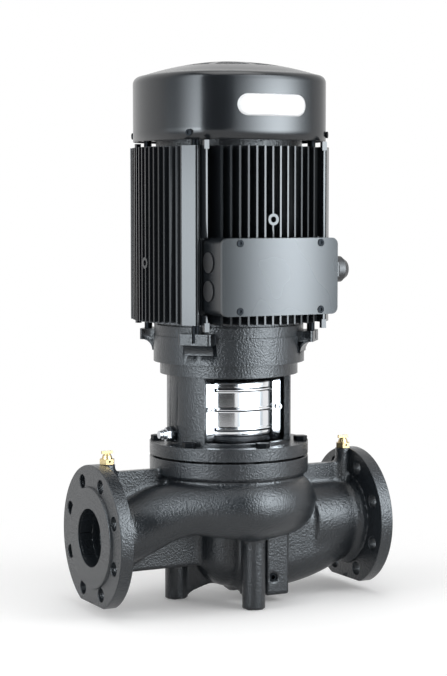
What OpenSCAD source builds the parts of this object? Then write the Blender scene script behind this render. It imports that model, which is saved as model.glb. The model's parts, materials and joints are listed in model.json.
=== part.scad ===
// Vertical in-line pump: volute casing between two pipe flanges, lantern with
// coupling guards, and a finned motor with its terminal box and fan cover.
// Millimetres. +Z up along the shaft, +X to the suction flange, -Y to the terminal box.
// The origin is on the floor, in the middle of the three feet.

/* [Pipe ports] */
// Bore of both pipe ports
port_bore = 80; // [72:1:82]
// Distance from the shaft to each flange face
port_reach = 215; // [210:1:232]
// Height of the pipe axis above the floor
port_height = 105; // [103:1:112]
// Outside diameter of the flanges
flange_d = 200; // [197:1:204]
// Thickness of the flange plates
flange_t = 19; // [17:0.5:21]
// Depth of the flat at the foot of each flange, below the pipe axis
flange_flat = 92; // [89:1:96]
// Diameter of the raised sealing face
raised_d = 138; // [126:1:140]
// Height of the raised sealing face
raised_t = 3; // [2:0.5:4]
// Circle of the flange holes
hole_pcd = 160; // [158:1:164]
// Diameter of the suction flange's holes
hole_d = 19; // [16:0.5:20]
// Diameter of the discharge flange's holes
out_hole_d = 18.4; // [16:0.4:20]
// Wall of the cast pipes
pipe_wall = 7; // [6:0.5:8]
// Diameter of the tapping bosses behind the flanges
boss_d = 22; // [20:1:24]

/* [Volute] */
// Height of the volute's middle above the pipe axis
scroll_rise = 38; // [36:1:41]
// Radius of the volute's centre line
scroll_ring = 81; // [79:1:83]
// Outside radius of the volute where it starts
scroll_start = 26; // [23:1:29]
// Wall of the volute
scroll_wall = 7; // [6:0.5:8]
// Radius of the impeller chamber
chamber_r = 88; // [87:0.5:89]
// Radius of the joint rim
rim_r = 112; // [111:0.5:115]
// Thickness of the joint rim
rim_t = 25; // [23:1:27]
// Height of the joint face above the volute's middle
rim_rise = 65; // [63:1:68]
// Radius of the suction bowl
bowl_r = 47; // [46:0.5:50]
// Thickness of the stiffening ribs
rib_t = 10; // [8:1:12]

/* [Feet] */
// Radius of the circle that the feet stand on
foot_ring = 75; // [73:1:78]
// Diameter of each foot
foot_d = 32; // [30:1:36]
// Diameter of the fixing hole in each foot
foot_hole_d = 12; // [10:0.5:14]
// Depth of the fixing hole in each foot
foot_hole_depth = 20; // [16:1:22]

/* [Wet end] */
// Radius of the impeller
impeller_r = 75; // [72:0.5:77]
// Number of impeller blades
blade_count = 6; // [5:1:7]
// Thickness of the impeller blades
blade_t = 3; // [2.5:0.5:4]
// Radius of the impeller's eye
eye_r = 36; // [34:0.5:37]
// Running gap of the wear ring
wear_gap = 0.4; // [0.3:0.05:0.6]
// Radius of the pump shaft
pump_shaft_r = 14; // [13:0.5:15]
// Wire thickness of the seal spring
spring_wire = 2.4; // [2:0.2:2.8]
// Turns of the seal spring
spring_turns = 4; // [3:1:5]

/* [Lantern] */
// Thickness of the lantern's foot disc
disc_t = 17; // [15:1:19]
// Outside radius of the lantern's wall
lantern_r = 87.5; // [86:0.5:89]
// Thickness of the lantern's wall
lantern_wall = 8; // [6:0.5:9]
// Height of the lantern's wall
lantern_h = 96; // [92:1:104]
// Half of the angle that each window spans
window_half = 50; // [47:1:52]
// Radius of the step under the lantern's head
step_r = 97; // [95:0.5:99]
// Height of that step
step_h = 17; // [15:1:19]
// Radius of the lantern's head
head_r = 106; // [104:0.5:108]
// Height of the lantern's head
head_h = 37; // [35:1:40]
// Radius of the circle of the joint bolts
joint_bolt_ring = 101; // [100.5:0.25:102]
// Number of joint bolts
joint_bolt_count = 6; // [6]
// Thread diameter of the joint bolts
joint_bolt_d = 10; // [8:0.5:10]
// Thickness of the lugs that carry the motor
lug_t = 15; // [14:1:17]
// Half of the width of those lugs
lug_half = 24; // [20:1:26]
// Width of the slot that opens each lug to its tie rod
lug_slot = 5; // [4:0.5:8]

/* [Guards] */
// Radius of the guard's curved middle
guard_r = 64; // [62:0.5:66]
// Thickness of the guard's sheet
guard_t = 1.5; // [1:0.25:2]
// Half of the width of the curved middle
guard_half = 46; // [44:0.5:48]
// Width of the flat tab on each side
tab_w = 16; // [14:0.5:17]
// Number of stiffening beads
bead_count = 3; // [2:1:3]
// Half of the width of each bead
bead_r = 3; // [2:0.25:3.5]
// Height of each bead
bead_h = 1.6; // [1:0.2:2]

/* [Coupling] */
// Outside radius of the coupling
coupling_r = 37; // [36:0.5:40]
// Length of the coupling
coupling_h = 68; // [64:1:70]
// Thread diameter of the clamp bolts
clamp_bolt_d = 8; // [6:0.5:8]

/* [Motor] */
// Height of the finned frame
frame_h = 240; // [230:2:270]
// Outside radius of the frame's barrel
barrel_r = 106; // [105:0.5:107]
// Inside radius of the frame
frame_bore_r = 100; // [99:0.5:100.5]
// Distance from the shaft to the middle of each finned face
face_r = 129; // [127:0.5:131]
// Radius of the curve that the fin tips follow
face_curve = 200; // [190:5:220]
// Number of fins on each face
fin_count = 13; // [11:2:13]
// Spacing of the fins
fin_pitch = 11.8; // [11:0.1:12]
// Thickness of the fins
fin_t = 2.6; // [2:0.1:3]
// Distance from the shaft to the outside of each corner lobe
lobe_r = 140; // [138:0.5:141]
// Half of the width of each corner lobe
lobe_half = 14; // [13:0.5:15]
// Distance of the tie rods inwards from the middle of the lobes' metal
rod_inset = 6; // [4:0.5:8]
// Angle between the X axis and the lobes
corner_turn = 40; // [39:0.5:44]
// Diameter of the tie rods
rod_d = 11; // [10:0.5:12]
// Radius of the shaft in the lower bearing
motor_shaft_r = 20; // [19:0.5:21]
// Radius of the air gap between rotor and stator
gap_r = 62.5; // [60:0.5:64]
// Length of the stator core
core_h = 150; // [140:2:156]

/* [Fan cover] */
// Height of the fan cover's side
cover_side = 91; // [88:1:98]
// Rise of the fan cover's crown
crown_h = 21; // [16:1:24]
// Thickness of the fan cover
cover_t = 2.5; // [2:0.25:3.5]
// Depth of the cover's rounded corners inside the lobes' outer faces
cover_inset = 3; // [2:0.5:4]
// Rounding of the cover's upper edge
cover_round = 11; // [8:1:13]
// Number of fan blades
fan_blades = 8; // [6:1:10]
// Radius of the fan
fan_r = 98; // [92:1:104]

/* [Terminal box] */
// Width of the box
box_w = 176; // [172:1:180]
// Height of the box
box_h = 103; // [98:1:108]
// Distance from the shaft to the box's front edge
box_front = 144; // [142:0.5:147]
// Distance from the shaft to the back of the box
box_back = 88; // [86:1:92]
// Height of the box's middle above the foot of the frame
box_rise = 65.5; // [63:0.5:70]
// Wall of the box
box_wall = 5; // [4:0.5:6]
// Thickness of the lid
lid_t = 5; // [4:0.5:7]
// Thickness of the lid's gasket
gasket_t = 1.5; // [1:0.25:2]
// Rounding of the box's corners
box_round = 9; // [7:0.5:11]
// Diameter of the cable entries
entry_d = 26; // [24:0.5:28]
// Spacing of the two plugged entries
entry_pitch = 38; // [36:1:44]

/* [Fits] */
// Clearance of parts that seat in each other
fit = 0.05; // [0.03:0.01:0.08]
// Gap between parts that turn and parts that stand still
run = 0.5; // [0.4:0.05:0.6]

/* [Hidden] */
$fn = 72;
cut = 1;
hole_count = 8;
// Levels, from the floor up
scroll_z = port_height + scroll_rise;
joint_z = scroll_z + rim_rise;
rim_z = joint_z - rim_t;
cover_rim_t = 3;
cover_rim_r = joint_bolt_ring - joint_bolt_d / 2 - 1;
cover_z = joint_z - 18;
lantern_z = joint_z + cover_rim_t;
disc_top = lantern_z + disc_t;
step_z = disc_top + lantern_h;
head_z = step_z + step_h;
shield_z = head_z + head_h;
shield_t = 15;
frame_z = shield_z + shield_t + 5;
frame_top = frame_z + frame_h;
cover_low = frame_top + 8;
cover_edge = cover_low + cover_side;
// Volute and ducts
flange_back = port_reach - raised_t - flange_t;
duct_r = port_bore / 2 + pipe_wall;
scroll_end = duct_r - 1;
scroll_from = 225;
scroll_to = -90;
chamber_z = scroll_z - 19;
chamber_wall = 12;
floor_t = 7;
duct_z = port_height - duct_r;
sump_r = duct_r - 1;
sump_in_r = sump_r - pipe_wall - 1;
sump_start = 60;
sump_curve = 182;
sump_angle = 33;
bowl_z = duct_z - sump_r + bowl_r;
web_low = duct_z - sump_r + 3;
drain_x = 42;
drain_out = 10;
// Wet end
eye_wall = 6;
ring_r = eye_r + eye_wall;
ring_t = 8;
ring_h = 11;
collar_r = ring_r + ring_t + 5;
collar_z = chamber_z - ring_h - 6;
hub_r = 22;
bore_r = pump_shaft_r - 3;
shroud_t = 5;
blade_h = 17;
back_z = scroll_z + blade_h / 2;
front_z = scroll_z - blade_h / 2;
hub_top = back_z + 15;
hub_low = front_z - 7;
seat_z = joint_z - 11;
seat_t = 9;
seat_r = 26;
face_t = 7;
face_low = seat_z - face_t - fit;
seal_hub_r = 38;
seal_hub_h = 28;
throat_gap = 0.6;
nut_h = 10;
// Coupling and motor
rod_ring = (lobe_r + barrel_r) / 2 - rod_inset;
lug_reach = rod_ring + 7;
lug_z = shield_z - 8;
pump_shaft_top = lantern_z + 77;
coupling_z = pump_shaft_top - coupling_h / 2 + 2;
shaft_gap = 4;
shaft_end_r = motor_shaft_r - 1;
low_bearing_z = shield_z + 8;
low_bearing_r = 45;
low_bearing_t = 23;
top_bearing_t = 17;
top_bearing_r = 36;
top_shaft_r = 17.5;
top_bearing_z = frame_top - 10;
top_bearing_top = top_bearing_z + top_bearing_t;
fan_seat_r = 15;
rotor_shaft_r = 26;
core_z = frame_z + (frame_h - core_h) / 2;
coil_h = 24;
ring_end_h = 12;
fan_z = cover_low + 26;
fan_h = 38;
shaft_top = fan_z + 34;
arm_z = cover_low + 2;
arm_t = 16;
arm_half = 11;
cover_corner_r = lobe_r - cover_inset;
arm_reach = cover_corner_r - cover_t - 1.2;
cover_screw_l = 6.5;
side_rib_x = box_w / 2 + 2.2;
side_rib_y = 110;
// Terminal box
box_z = frame_z + box_rise;
lid_y = box_front + gasket_t;
entry_y = box_front - 32;
gland_y = box_front - 20;
lid_screw_x = 61.5;
lid_screw_z = box_h / 2 - 6.5;
gland_af = 34;
gland_rise = 8;
gland_hex_h = 8;
gland_nut_r = 17.7;
wire_hole_r = 18;
board_w = 90;
board_h = 60;
board_t = 8;
board_screw_x = 38;
board_back = barrel_r + 5;
board_front = board_back + board_t;
// Tapping bosses
boss_x = flange_back - 5;
boss_top = port_height + flange_d / 2 + 0.5;
cock_hex = 19;
cock_r = 6;

// Shared shapes
module ring(outer, inner, h) {
  difference() {
    cylinder(r = outer, h = h);
    translate([0, 0, -cut]) cylinder(r = inner, h = h + 2 * cut);
  }
}

module hexagon(across, h) {
  cylinder(r = across / 2 / cos(30), h = h, $fn = 6);
}

module along_x(x) {
  translate([x, 0, 0]) rotate([0, 90, 0]) children();
}

module to_front(y) {
  translate([0, -y, 0]) rotate([90, 0, 0]) children();
}

module at_corners() {
  for (half_turn = [0, 180], side = [-1, 1]) rotate(half_turn + side * corner_turn) children();
}

module hex_bolt(d, length, head_af, head_h) {
  translate([0, 0, -length]) cylinder(d = d, h = length);
  hexagon(head_af, head_h);
}

module socket_screw(d, length, head_d, head_h) {
  difference() {
    union() {
      translate([0, 0, -length]) cylinder(d = d, h = length);
      cylinder(d = head_d, h = head_h);
    }
    translate([0, 0, head_h * 0.4]) hexagon(head_d * 0.5, head_h);
  }
}

module rounded_plate(w, h, t, r) {
  linear_extrude(t) hull() {
    for (x = [-1, 1], y = [-1, 1])
      translate([x * (w / 2 - r), y * (h / 2 - r)]) circle(r, $fn = 32);
  }
}

// Closed solid through a list of rings, each a list of as many points
module sweep(rings) {
  sides = len(rings[0]);
  last = len(rings) - 1;
  points = [for (one = rings) each one];
  ends = [
    [for (j = [0 : sides - 1]) j],
    [for (j = [0 : sides - 1]) last * sides + sides - 1 - j]
  ];
  low = [
    for (i = [0 : last - 1], j = [0 : sides - 1])
      let (k = (j + 1) % sides) [i * sides + j, (i + 1) * sides + k, i * sides + k]
  ];
  high = [
    for (i = [0 : last - 1], j = [0 : sides - 1])
      let (k = (j + 1) % sides) [i * sides + j, (i + 1) * sides + j, (i + 1) * sides + k]
  ];
  polyhedron(points, concat(ends, low, high));
}

// Volute and outlet pipe: one tube that grows along its ring from the tongue round to the
// outlet, and then comes down to the pipe axis in two equal bends
outlet_side = norm([scroll_ring, scroll_rise]);
outlet_lean = atan2(scroll_rise, scroll_ring);
outlet_run = flange_back - 8;
outlet_bend = 2 * atan(outlet_side / outlet_run);
outlet_curve = outlet_run / 2 / sin(outlet_bend);

function scroll_ring_points(t, wall, sides) =
  let (a = scroll_from + (scroll_to - scroll_from) * t,
       r = scroll_start + (scroll_end - scroll_start) * t - wall)
  [
    for (j = [0 : sides - 1])
      let (b = 360 * j / sides, reach = scroll_ring + r * cos(b))
      [reach * cos(a), reach * sin(a), scroll_z + r * sin(b)]
  ];

function outlet_turn(t) = outlet_bend * (t < 0.5 ? 2 * t : 2 - 2 * t);
function outlet_along(t) =
  t < 0.5 ? outlet_curve * sin(outlet_turn(t)) : outlet_run - outlet_curve * sin(outlet_turn(t));
function outlet_across(t) =
  t < 0.5 ? outlet_curve * (1 - cos(outlet_turn(t)))
          : outlet_side - outlet_curve * (1 - cos(outlet_turn(t)));

function outlet_ring_points(t, wall, sides) =
  let (turn = outlet_turn(t), across = outlet_across(t), lean = outlet_lean,
       r = scroll_end - wall,
       middle = [-outlet_along(t), across * cos(lean) - scroll_ring, scroll_z - across * sin(lean)],
       inward = [sin(turn), cos(turn) * cos(lean), -cos(turn) * sin(lean)],
       upward = [0, sin(lean), cos(lean)])
  [
    for (j = [0 : sides - 1])
      let (b = 360 * j / sides - lean) middle + r * (sin(b) * upward - cos(b) * inward)
  ];

module volute_tube(wall, scroll_rings, outlet_rings, sides) {
  sweep([for (i = [0 : scroll_rings]) scroll_ring_points(i / scroll_rings, wall, sides)]);
  sweep([for (i = [0 : outlet_rings]) outlet_ring_points(i / outlet_rings, wall, sides)]);
}

// Suction duct: flat-sided, with a round bottom that dips under the impeller
module sump_tube(r, angle) {
  translate([sump_start, 0, duct_z + sump_curve]) rotate([90, 0, 0]) rotate(-90)
    rotate_extrude(angle = angle) translate([sump_curve, 0]) circle(r);
  translate([0, 0, duct_z]) along_x(0) cylinder(r = r, h = sump_start);
}

module sump_web(half, from_x, to_x) {
  rotate([90, 0, 0]) linear_extrude(2 * half, center = true) {
    intersection() {
      translate([sump_start, duct_z]) square([to_x - sump_start, port_height - duct_z]);
      translate([sump_start, duct_z + sump_curve]) circle(sump_curve, $fn = 180);
    }
    translate([from_x, duct_z]) square([sump_start - from_x, port_height - duct_z]);
  }
}

module flange_plate() {
  cylinder(d = flange_d, h = flange_t);
  translate([0, 0, flange_t]) cylinder(d = raised_d, h = raised_t);
}

module flange_holes(d) {
  for (k = [0 : hole_count - 1])
    rotate((k + 0.5) * 360 / hole_count) translate([hole_pcd / 2, 0, -cut])
      cylinder(d = d, h = flange_t + 2 * cut);
}

module at_flange(side) {
  translate([side * flange_back, 0, port_height]) rotate([0, side * 90, 0]) children();
}

module foot_places() {
  for (a = [-90 : 120 : 150]) rotate(a) translate([foot_ring, 0, 0]) children();
}

module casing_ribs() {
  rib_top = port_height + 80;
  back = flange_back + cut;
  rotate([90, 0, 0]) linear_extrude(rib_t, center = true) {
    translate([-back, port_height - 52]) square([back - 40, rib_top - port_height + 52]);
    polygon([[95, rib_top], [back, rib_top], [back, port_height], [95, port_height]]);
  }
}

module drain_block() {
  translate([drain_x - 8, -sump_r - drain_out, duct_z - sump_r - 2])
    cube([28, 26, scroll_z - 35 - duct_z + sump_r]);
}

// Web between the bowl and a foot, with an arch in its lower edge
module foot_web() {
  gap = foot_ring - foot_d / 2;
  rotate([90, 0, 0]) linear_extrude(rib_t, center = true) difference() {
    translate([bowl_r / 3, web_low]) square([gap + 4 - bowl_r / 3, 110 - web_low]);
    translate([gap - 10, web_low - 2]) circle(13);
  }
}

module casing_outer() {
  volute_tube(0, 30, 12, 16);
  translate([0, 0, chamber_z - floor_t])
    cylinder(r = chamber_r + chamber_wall, h = rim_z - chamber_z + floor_t + cut);
  translate([0, 0, rim_z]) cylinder(r = rim_r, h = rim_t);
  translate([0, 0, bowl_z]) cylinder(r = bowl_r - 1, h = chamber_z - bowl_z);
  translate([0, 0, collar_z - 12]) cylinder(r1 = bowl_r - 1.2, r2 = collar_r, h = 12);
  translate([0, 0, collar_z]) cylinder(r = collar_r, h = chamber_z - collar_z);
  translate([0, 0, bowl_z]) sphere(bowl_r);
  sump_tube(sump_r, sump_angle);
  sump_web(sump_r - 1.5, 10, flange_back);
  translate([0, 0, port_height]) {
    along_x(120) cylinder(r = duct_r + 3, h = port_reach - 125);
    along_x(5 - port_reach) cylinder(r = duct_r + 3, h = 40);
  }
  for (side = [-1, 1]) at_flange(side) flange_plate();
  for (side = [-1, 1])
    translate([side * boss_x, 0, port_height]) cylinder(d = boss_d, h = boss_top - port_height);
  foot_places() cylinder(d = foot_d, h = scroll_z - 30);
  for (a = [-90 : 120 : 150]) rotate(a) foot_web();
  casing_ribs();
  drain_block();
}

module casing_inner() {
  volute_tube(scroll_wall, 22, 10, 12);
  translate([0, 0, chamber_z]) cylinder(r = chamber_r, h = joint_z - chamber_z + cut);
  translate([0, 0, bowl_z]) cylinder(r = eye_r + 1, h = chamber_z - bowl_z + cut);
  translate([0, 0, chamber_z - ring_h]) cylinder(r = ring_r + ring_t, h = ring_h + cut);
  translate([0, 0, bowl_z]) sphere(bowl_r - pipe_wall - 1);
  sump_tube(sump_in_r, sump_angle - 7);
  sump_web(sump_in_r - 1.5, 10, port_reach - 60);
  translate([0, 0, port_height]) {
    along_x(port_reach - 90) cylinder(d = port_bore, h = 90 + cut);
    along_x(-port_reach - cut) cylinder(d = port_bore, h = raised_t + flange_t + 12 + cut);
  }
}

module pump_casing() {
  color([0.14, 0.15, 0.17]) difference() {
    casing_outer();
    casing_inner();
    at_flange(1) flange_holes(hole_d);
    at_flange(-1) flange_holes(out_hole_d);
    for (side = [-1, 1]) {
      translate([side * port_reach, 0, port_height - flange_flat - 50])
        cube([70, flange_d, 100], center = true);
      translate([side * boss_x, 0, port_height]) cylinder(r = 3, h = boss_top);
      translate([side * boss_x, 0, boss_top - 12]) cylinder(r = cock_r + fit, h = 12 + cut);
    }
    foot_places() translate([0, 0, -cut]) cylinder(d = foot_hole_d, h = foot_hole_depth + cut);
    for (k = [0 : joint_bolt_count - 1])
      rotate(-90 + k * 360 / joint_bolt_count) translate([joint_bolt_ring, 0, joint_z - 20])
        cylinder(d = joint_bolt_d + 2 * fit, h = 20 + cut);
    translate([drain_x, -sump_r - drain_out - cut, duct_z - 22]) rotate([-90, 0, 0])
      cylinder(r = 6 + fit, h = 20 + cut);
  }
}

module casing_wear_ring() {
  color([0.72, 0.6, 0.36]) translate([0, 0, chamber_z - ring_h])
    ring(ring_r + ring_t - fit, ring_r + wear_gap, ring_h);
}

module cover_seal_ring() {
  color([0.05, 0.05, 0.05]) translate([0, 0, joint_z - 9])
    rotate_extrude() translate([chamber_r - 1.8, 0]) circle(1.5, $fn = 24);
}

module pump_cover() {
  color([0.2, 0.21, 0.23]) difference() {
    union() {
      translate([0, 0, cover_z]) cylinder(r = chamber_r - fit, h = joint_z - cover_z);
      translate([0, 0, joint_z]) cylinder(r = cover_rim_r, h = cover_rim_t);
      translate([0, 0, joint_z]) cylinder(r = seal_hub_r, h = seal_hub_h);
    }
    translate([0, 0, joint_z - 9 - 1.8]) difference() {
      cylinder(r = chamber_r + cut, h = 3.6);
      cylinder(r = chamber_r - 3.5, h = 3.6);
    }
    translate([0, 0, cover_z - cut]) cylinder(r = seat_r + 4, h = seat_z - cover_z + cut);
    translate([0, 0, seat_z - cut]) cylinder(r = seat_r + fit, h = seat_t + cut);
    translate([0, 0, joint_z - cut * 5])
      cylinder(r = pump_shaft_r + throat_gap, h = seal_hub_h + 10);
  }
}

module seal_seat() {
  color([0.75, 0.74, 0.7]) translate([0, 0, seat_z]) ring(seat_r, pump_shaft_r + 1.5, seat_t);
}

module seal_face() {
  color([0.18, 0.18, 0.19]) translate([0, 0, face_low]) ring(seat_r - 3, pump_shaft_r + fit, face_t);
}

// Spring of the rotating seal, a wire coiled round the shaft
module seal_spring() {
  steps = 16 * spring_turns;
  sides = 6;
  low = hub_top + spring_wire / 2 + fit;
  high = face_low - spring_wire / 2 - fit;
  coil_r = pump_shaft_r + spring_wire / 2 + 1;
  color([0.8, 0.8, 0.8]) sweep([
    for (i = [0 : steps]) [
      for (j = [0 : sides - 1])
        let (a = 360 * spring_turns * i / steps, b = -360 * j / sides, r = spring_wire / 2)
        [(coil_r + r * cos(b)) * cos(a), (coil_r + r * cos(b)) * sin(a),
         low + (high - low) * i / steps + r * sin(b)]
    ]
  ]);
}

// One backward-curved blade, an arc from the hub out to the rim
module blade_plan() {
  intersection() {
    difference() {
      circle(impeller_r - 1);
      circle(hub_r + 6);
    }
    translate([impeller_r / 2, 0]) square([impeller_r, impeller_r * 0.9]);
    translate([impeller_r * 0.36, 0]) difference() {
      circle(impeller_r * 0.6 + blade_t / 2);
      circle(impeller_r * 0.6 - blade_t / 2);
    }
  }
}

module impeller() {
  color([0.6, 0.62, 0.64]) difference() {
    union() {
      difference() {
        union() {
          translate([0, 0, back_z - 1]) cylinder(r = impeller_r, h = shroud_t);
          translate([0, 0, front_z - shroud_t + 1]) cylinder(r = impeller_r, h = shroud_t);
          translate([0, 0, chamber_z - ring_h])
            cylinder(r = ring_r, h = front_z - chamber_z + ring_h);
          for (k = [0 : blade_count - 1])
            rotate(k * 360 / blade_count) translate([0, 0, front_z])
              linear_extrude(blade_h) blade_plan();
        }
        translate([0, 0, chamber_z - ring_h - cut])
          cylinder(r = eye_r, h = back_z - chamber_z + ring_h);
      }
      translate([0, 0, hub_low]) cylinder(r = hub_r, h = hub_top - hub_low);
    }
    translate([0, 0, hub_low - cut]) cylinder(r = bore_r + fit, h = hub_top - hub_low + 2 * cut);
    translate([-3 - fit, 0, hub_low - cut])
      cube([6 + 2 * fit, bore_r + 3 + fit, hub_top - hub_low + 2 * cut]);
  }
}

module impeller_key() {
  color([0.7, 0.7, 0.7]) translate([-3, bore_r - 3, hub_low + 6])
    cube([6, 6, hub_top - hub_low - 14]);
}

module impeller_nut() {
  color([0.75, 0.75, 0.76]) difference() {
    union() {
      translate([0, 0, hub_low - nut_h - 2]) hexagon(24, nut_h);
      translate([0, 0, hub_low - 2]) cylinder(r = 16, h = 2);
    }
    translate([0, 0, hub_low - nut_h - 3]) cylinder(r = 8 + fit, h = nut_h + 4);
  }
}

module pump_shaft() {
  color([0.78, 0.79, 0.8]) difference() {
    union() {
      translate([0, 0, hub_low - nut_h - 4]) cylinder(r = 8, h = nut_h + 5);
      translate([0, 0, hub_low]) cylinder(r = bore_r, h = hub_top - hub_low);
      translate([0, 0, hub_top]) cylinder(r = pump_shaft_r, h = pump_shaft_top - hub_top);
    }
    translate([-3 - fit, bore_r - 3 - fit, hub_low + 6 - fit])
      cube([6 + 2 * fit, 6, hub_top - hub_low - 14 + 2 * fit]);
  }
}

module joint_bolts() {
  color([0.2, 0.2, 0.22]) for (k = [0 : joint_bolt_count - 1])
    rotate(-90 + k * 360 / joint_bolt_count) translate([joint_bolt_ring, 0, disc_top])
      hex_bolt(joint_bolt_d, disc_t + cover_rim_t + 16, joint_bolt_d * 1.7, joint_bolt_d * 0.65);
}

module drain_plug() {
  color([0.5, 0.45, 0.35]) translate([drain_x, 2 - sump_r - drain_out, duct_z - 22])
    rotate([90, 0, 0])
    difference() {
      translate([0, 0, -12]) cylinder(r = 6, h = 12);
      translate([0, 0, -5]) hexagon(6, 6);
    }
}

module vent_body() {
  color([0.72, 0.58, 0.3]) translate([0, 0, disc_top + 13]) along_x(-lantern_r - 12) difference() {
    union() {
      hexagon(17, 6);
      cylinder(r = 6, h = 16);
      translate([0, 0, -5]) cylinder(r = 7, h = 6);
    }
    translate([0, 0, -6]) cylinder(r = 3 + fit, h = 14);
  }
}

module vent_screw() {
  color([0.76, 0.62, 0.34]) translate([0, 0, disc_top + 13]) along_x(-lantern_r - 22) {
    cylinder(r = 5.5, h = 4.7);
    cylinder(r = 3, h = 16);
  }
}

module cock_body() {
  difference() {
    union() {
      translate([0, 0, -11]) cylinder(r = cock_r, h = 11.5);
      hexagon(cock_hex, 7);
      translate([0, 0, 7]) cylinder(r1 = 7.5, r2 = 6, h = 5);
    }
    translate([0, 0, 1]) cylinder(r = 3 + fit, h = 12);
    translate([0, 0, 4]) rotate([90, 0, 0]) cylinder(r = 1.5, h = 12);
  }
}

module cock_key() {
  translate([0, 0, 5]) cylinder(r = 3, h = 9);
  translate([0, 0, 12.1]) cylinder(r = 5, h = 2.4);
  translate([-8, -1.6, 14]) cube([16, 3.2, 4]);
}

module suction_cock() {
  color([0.76, 0.62, 0.3]) translate([boss_x, 0, boss_top]) cock_body();
}

module suction_key() {
  color([0.78, 0.65, 0.34]) translate([boss_x, 0, boss_top]) cock_key();
}

module discharge_cock() {
  color([0.76, 0.62, 0.3]) translate([-boss_x, 0, boss_top]) cock_body();
}

module discharge_key() {
  color([0.78, 0.65, 0.34]) translate([-boss_x, 0, boss_top]) cock_key();
}

// Lantern
module window_plan() {
  reach = lantern_r * 2;
  for (side = [-1, 1])
    polygon([[0, 0], [-reach * sin(window_half), side * reach * cos(window_half)],
      [0, side * reach], [reach * sin(window_half), side * reach * cos(window_half)]]);
}

guard_y = sqrt(guard_r * guard_r - guard_half * guard_half);
guard_low = disc_top + 4;
guard_h = lantern_h - 6;
guard_mid = guard_low + guard_h / 2;

module guard_pads() {
  for (side = [-1, 1], face = [-1, 1])
    translate([side * (guard_half + 16), face * (guard_y - guard_t / 2 - 7), guard_mid])
      cube([20, 14, 20], center = true);
}

// Lug for a tie rod: a wide plate on the head, with a hollow underside
module lug() {
  translate([head_r - 20, 0, 0]) linear_extrude(lug_t) {
    translate([0, -lug_half]) square([lug_reach - head_r + 16, 2 * lug_half]);
    translate([0, 4 - lug_half]) square([lug_reach - head_r + 20, 2 * lug_half - 8]);
    for (side = [-1, 1])
      translate([lug_reach - head_r + 15.5, side * (lug_half - 4.5)]) circle(4.4, $fn = 24);
  }
  rotate([90, 0, 0]) linear_extrude(2 * lug_half - 6, center = true) difference() {
    translate([head_r - 14, -lug_t]) square([lug_t + 10, lug_t + 1]);
    translate([head_r + lug_t, -lug_t]) circle(lug_t);
  }
}

module lantern_bracket() {
  color([0.15, 0.16, 0.18]) difference() {
    union() {
      translate([0, 0, lantern_z]) cylinder(r = rim_r, h = disc_t);
      translate([0, 0, disc_top - cut]) cylinder(r = lantern_r, h = lantern_h + 2 * cut);
      translate([0, 0, step_z]) cylinder(r = step_r, h = step_h + cut);
      translate([0, 0, head_z]) cylinder(r = head_r, h = head_h);
      at_corners() translate([0, 0, lug_z]) lug();
      translate([0, 0, disc_top + 13]) along_x(-lantern_r - 6) cylinder(r = 11, h = 14);
    }
    difference() {
      translate([0, 0, disc_top]) cylinder(r = lantern_r - lantern_wall, h = lantern_h + step_h);
      intersection() {
        guard_pads();
        translate([0, 0, disc_top]) cylinder(r = lantern_r - 1, h = lantern_h);
      }
    }
    translate([0, 0, lantern_z - cut]) cylinder(r = seal_hub_r + 12, h = disc_t + 2 * cut);
    translate([0, 0, guard_low]) linear_extrude(guard_h) difference() {
      window_plan();
      circle(lantern_r - lantern_wall - 0.5);
    }
    translate([0, 0, head_z - cut]) cylinder(r = 56, h = head_h + 2 * cut);
    translate([0, 0, shield_z - 8]) cylinder(r = 70 + fit, h = 8 + cut);
    translate([0, 0, shield_z]) cylinder(r = head_r - 1 + fit, h = shield_t);
    for (k = [0 : joint_bolt_count - 1])
      rotate(-90 + k * 360 / joint_bolt_count) translate([joint_bolt_ring, 0, lantern_z - cut])
        cylinder(d = joint_bolt_d + 1, h = disc_t + 2 * cut);
    for (k = [0 : joint_bolt_count - 1])
      rotate(-90 + k * 360 / joint_bolt_count) translate([joint_bolt_ring, 0, disc_top])
        cylinder(d = joint_bolt_d * 2.3, h = 12);
    at_corners() translate([rod_ring, 0, lug_z + 3]) {
      cylinder(d = rod_d + 2 * fit, h = lug_t);
      translate([0, -lug_slot / 2, 0]) cube([lug_reach, lug_slot, lug_t]);
    }
    for (side = [-1, 1]) translate([side * (guard_half + tab_w / 2), 0, guard_mid])
      rotate([90, 0, 0]) cylinder(r = 2.5 + fit, h = 2 * guard_y + 40, center = true);
    translate([0, 0, disc_top + 13]) along_x(-lantern_r - 7) cylinder(r = 6 + fit, h = 20);
  }
}

// One side of the guard's pressed sheet, from its foot to its top, as [radius, height]
function guard_side(r) = [
  [r, guard_low],
  for (k = [0 : bead_count - 1])
    let (z = guard_mid + (k - (bead_count - 1) / 2) * guard_h / 3.3)
    each [[r, z - bead_r], [r + bead_h, z - bead_r / 3], [r + bead_h, z + bead_r / 3], [r, z + bead_r]],
  [r, guard_low + guard_h]
];

module guard() {
  open = asin(guard_half / guard_r);
  inside = guard_side(guard_r - guard_t / 2);
  difference() {
    union() {
      rotate(-90 - open) rotate_extrude(angle = 2 * open)
        polygon(concat(guard_side(guard_r + guard_t / 2),
          [for (k = [len(inside) - 1 : -1 : 0]) inside[k]]));
      for (side = [-1, 1])
        translate([side * (guard_half + (tab_w - 1) / 2), -guard_y, guard_mid])
          cube([tab_w + 1, guard_t, guard_h], center = true);
    }
    for (side = [-1, 1]) translate([side * (guard_half + tab_w / 2), -guard_y, guard_mid])
      rotate([90, 0, 0]) cylinder(r = 2.7, h = 10, center = true);
  }
}

module guard_front() {
  color([0.85, 0.86, 0.88]) guard();
}

module guard_back() {
  color([0.85, 0.86, 0.88]) rotate(180) guard();
}

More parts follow.
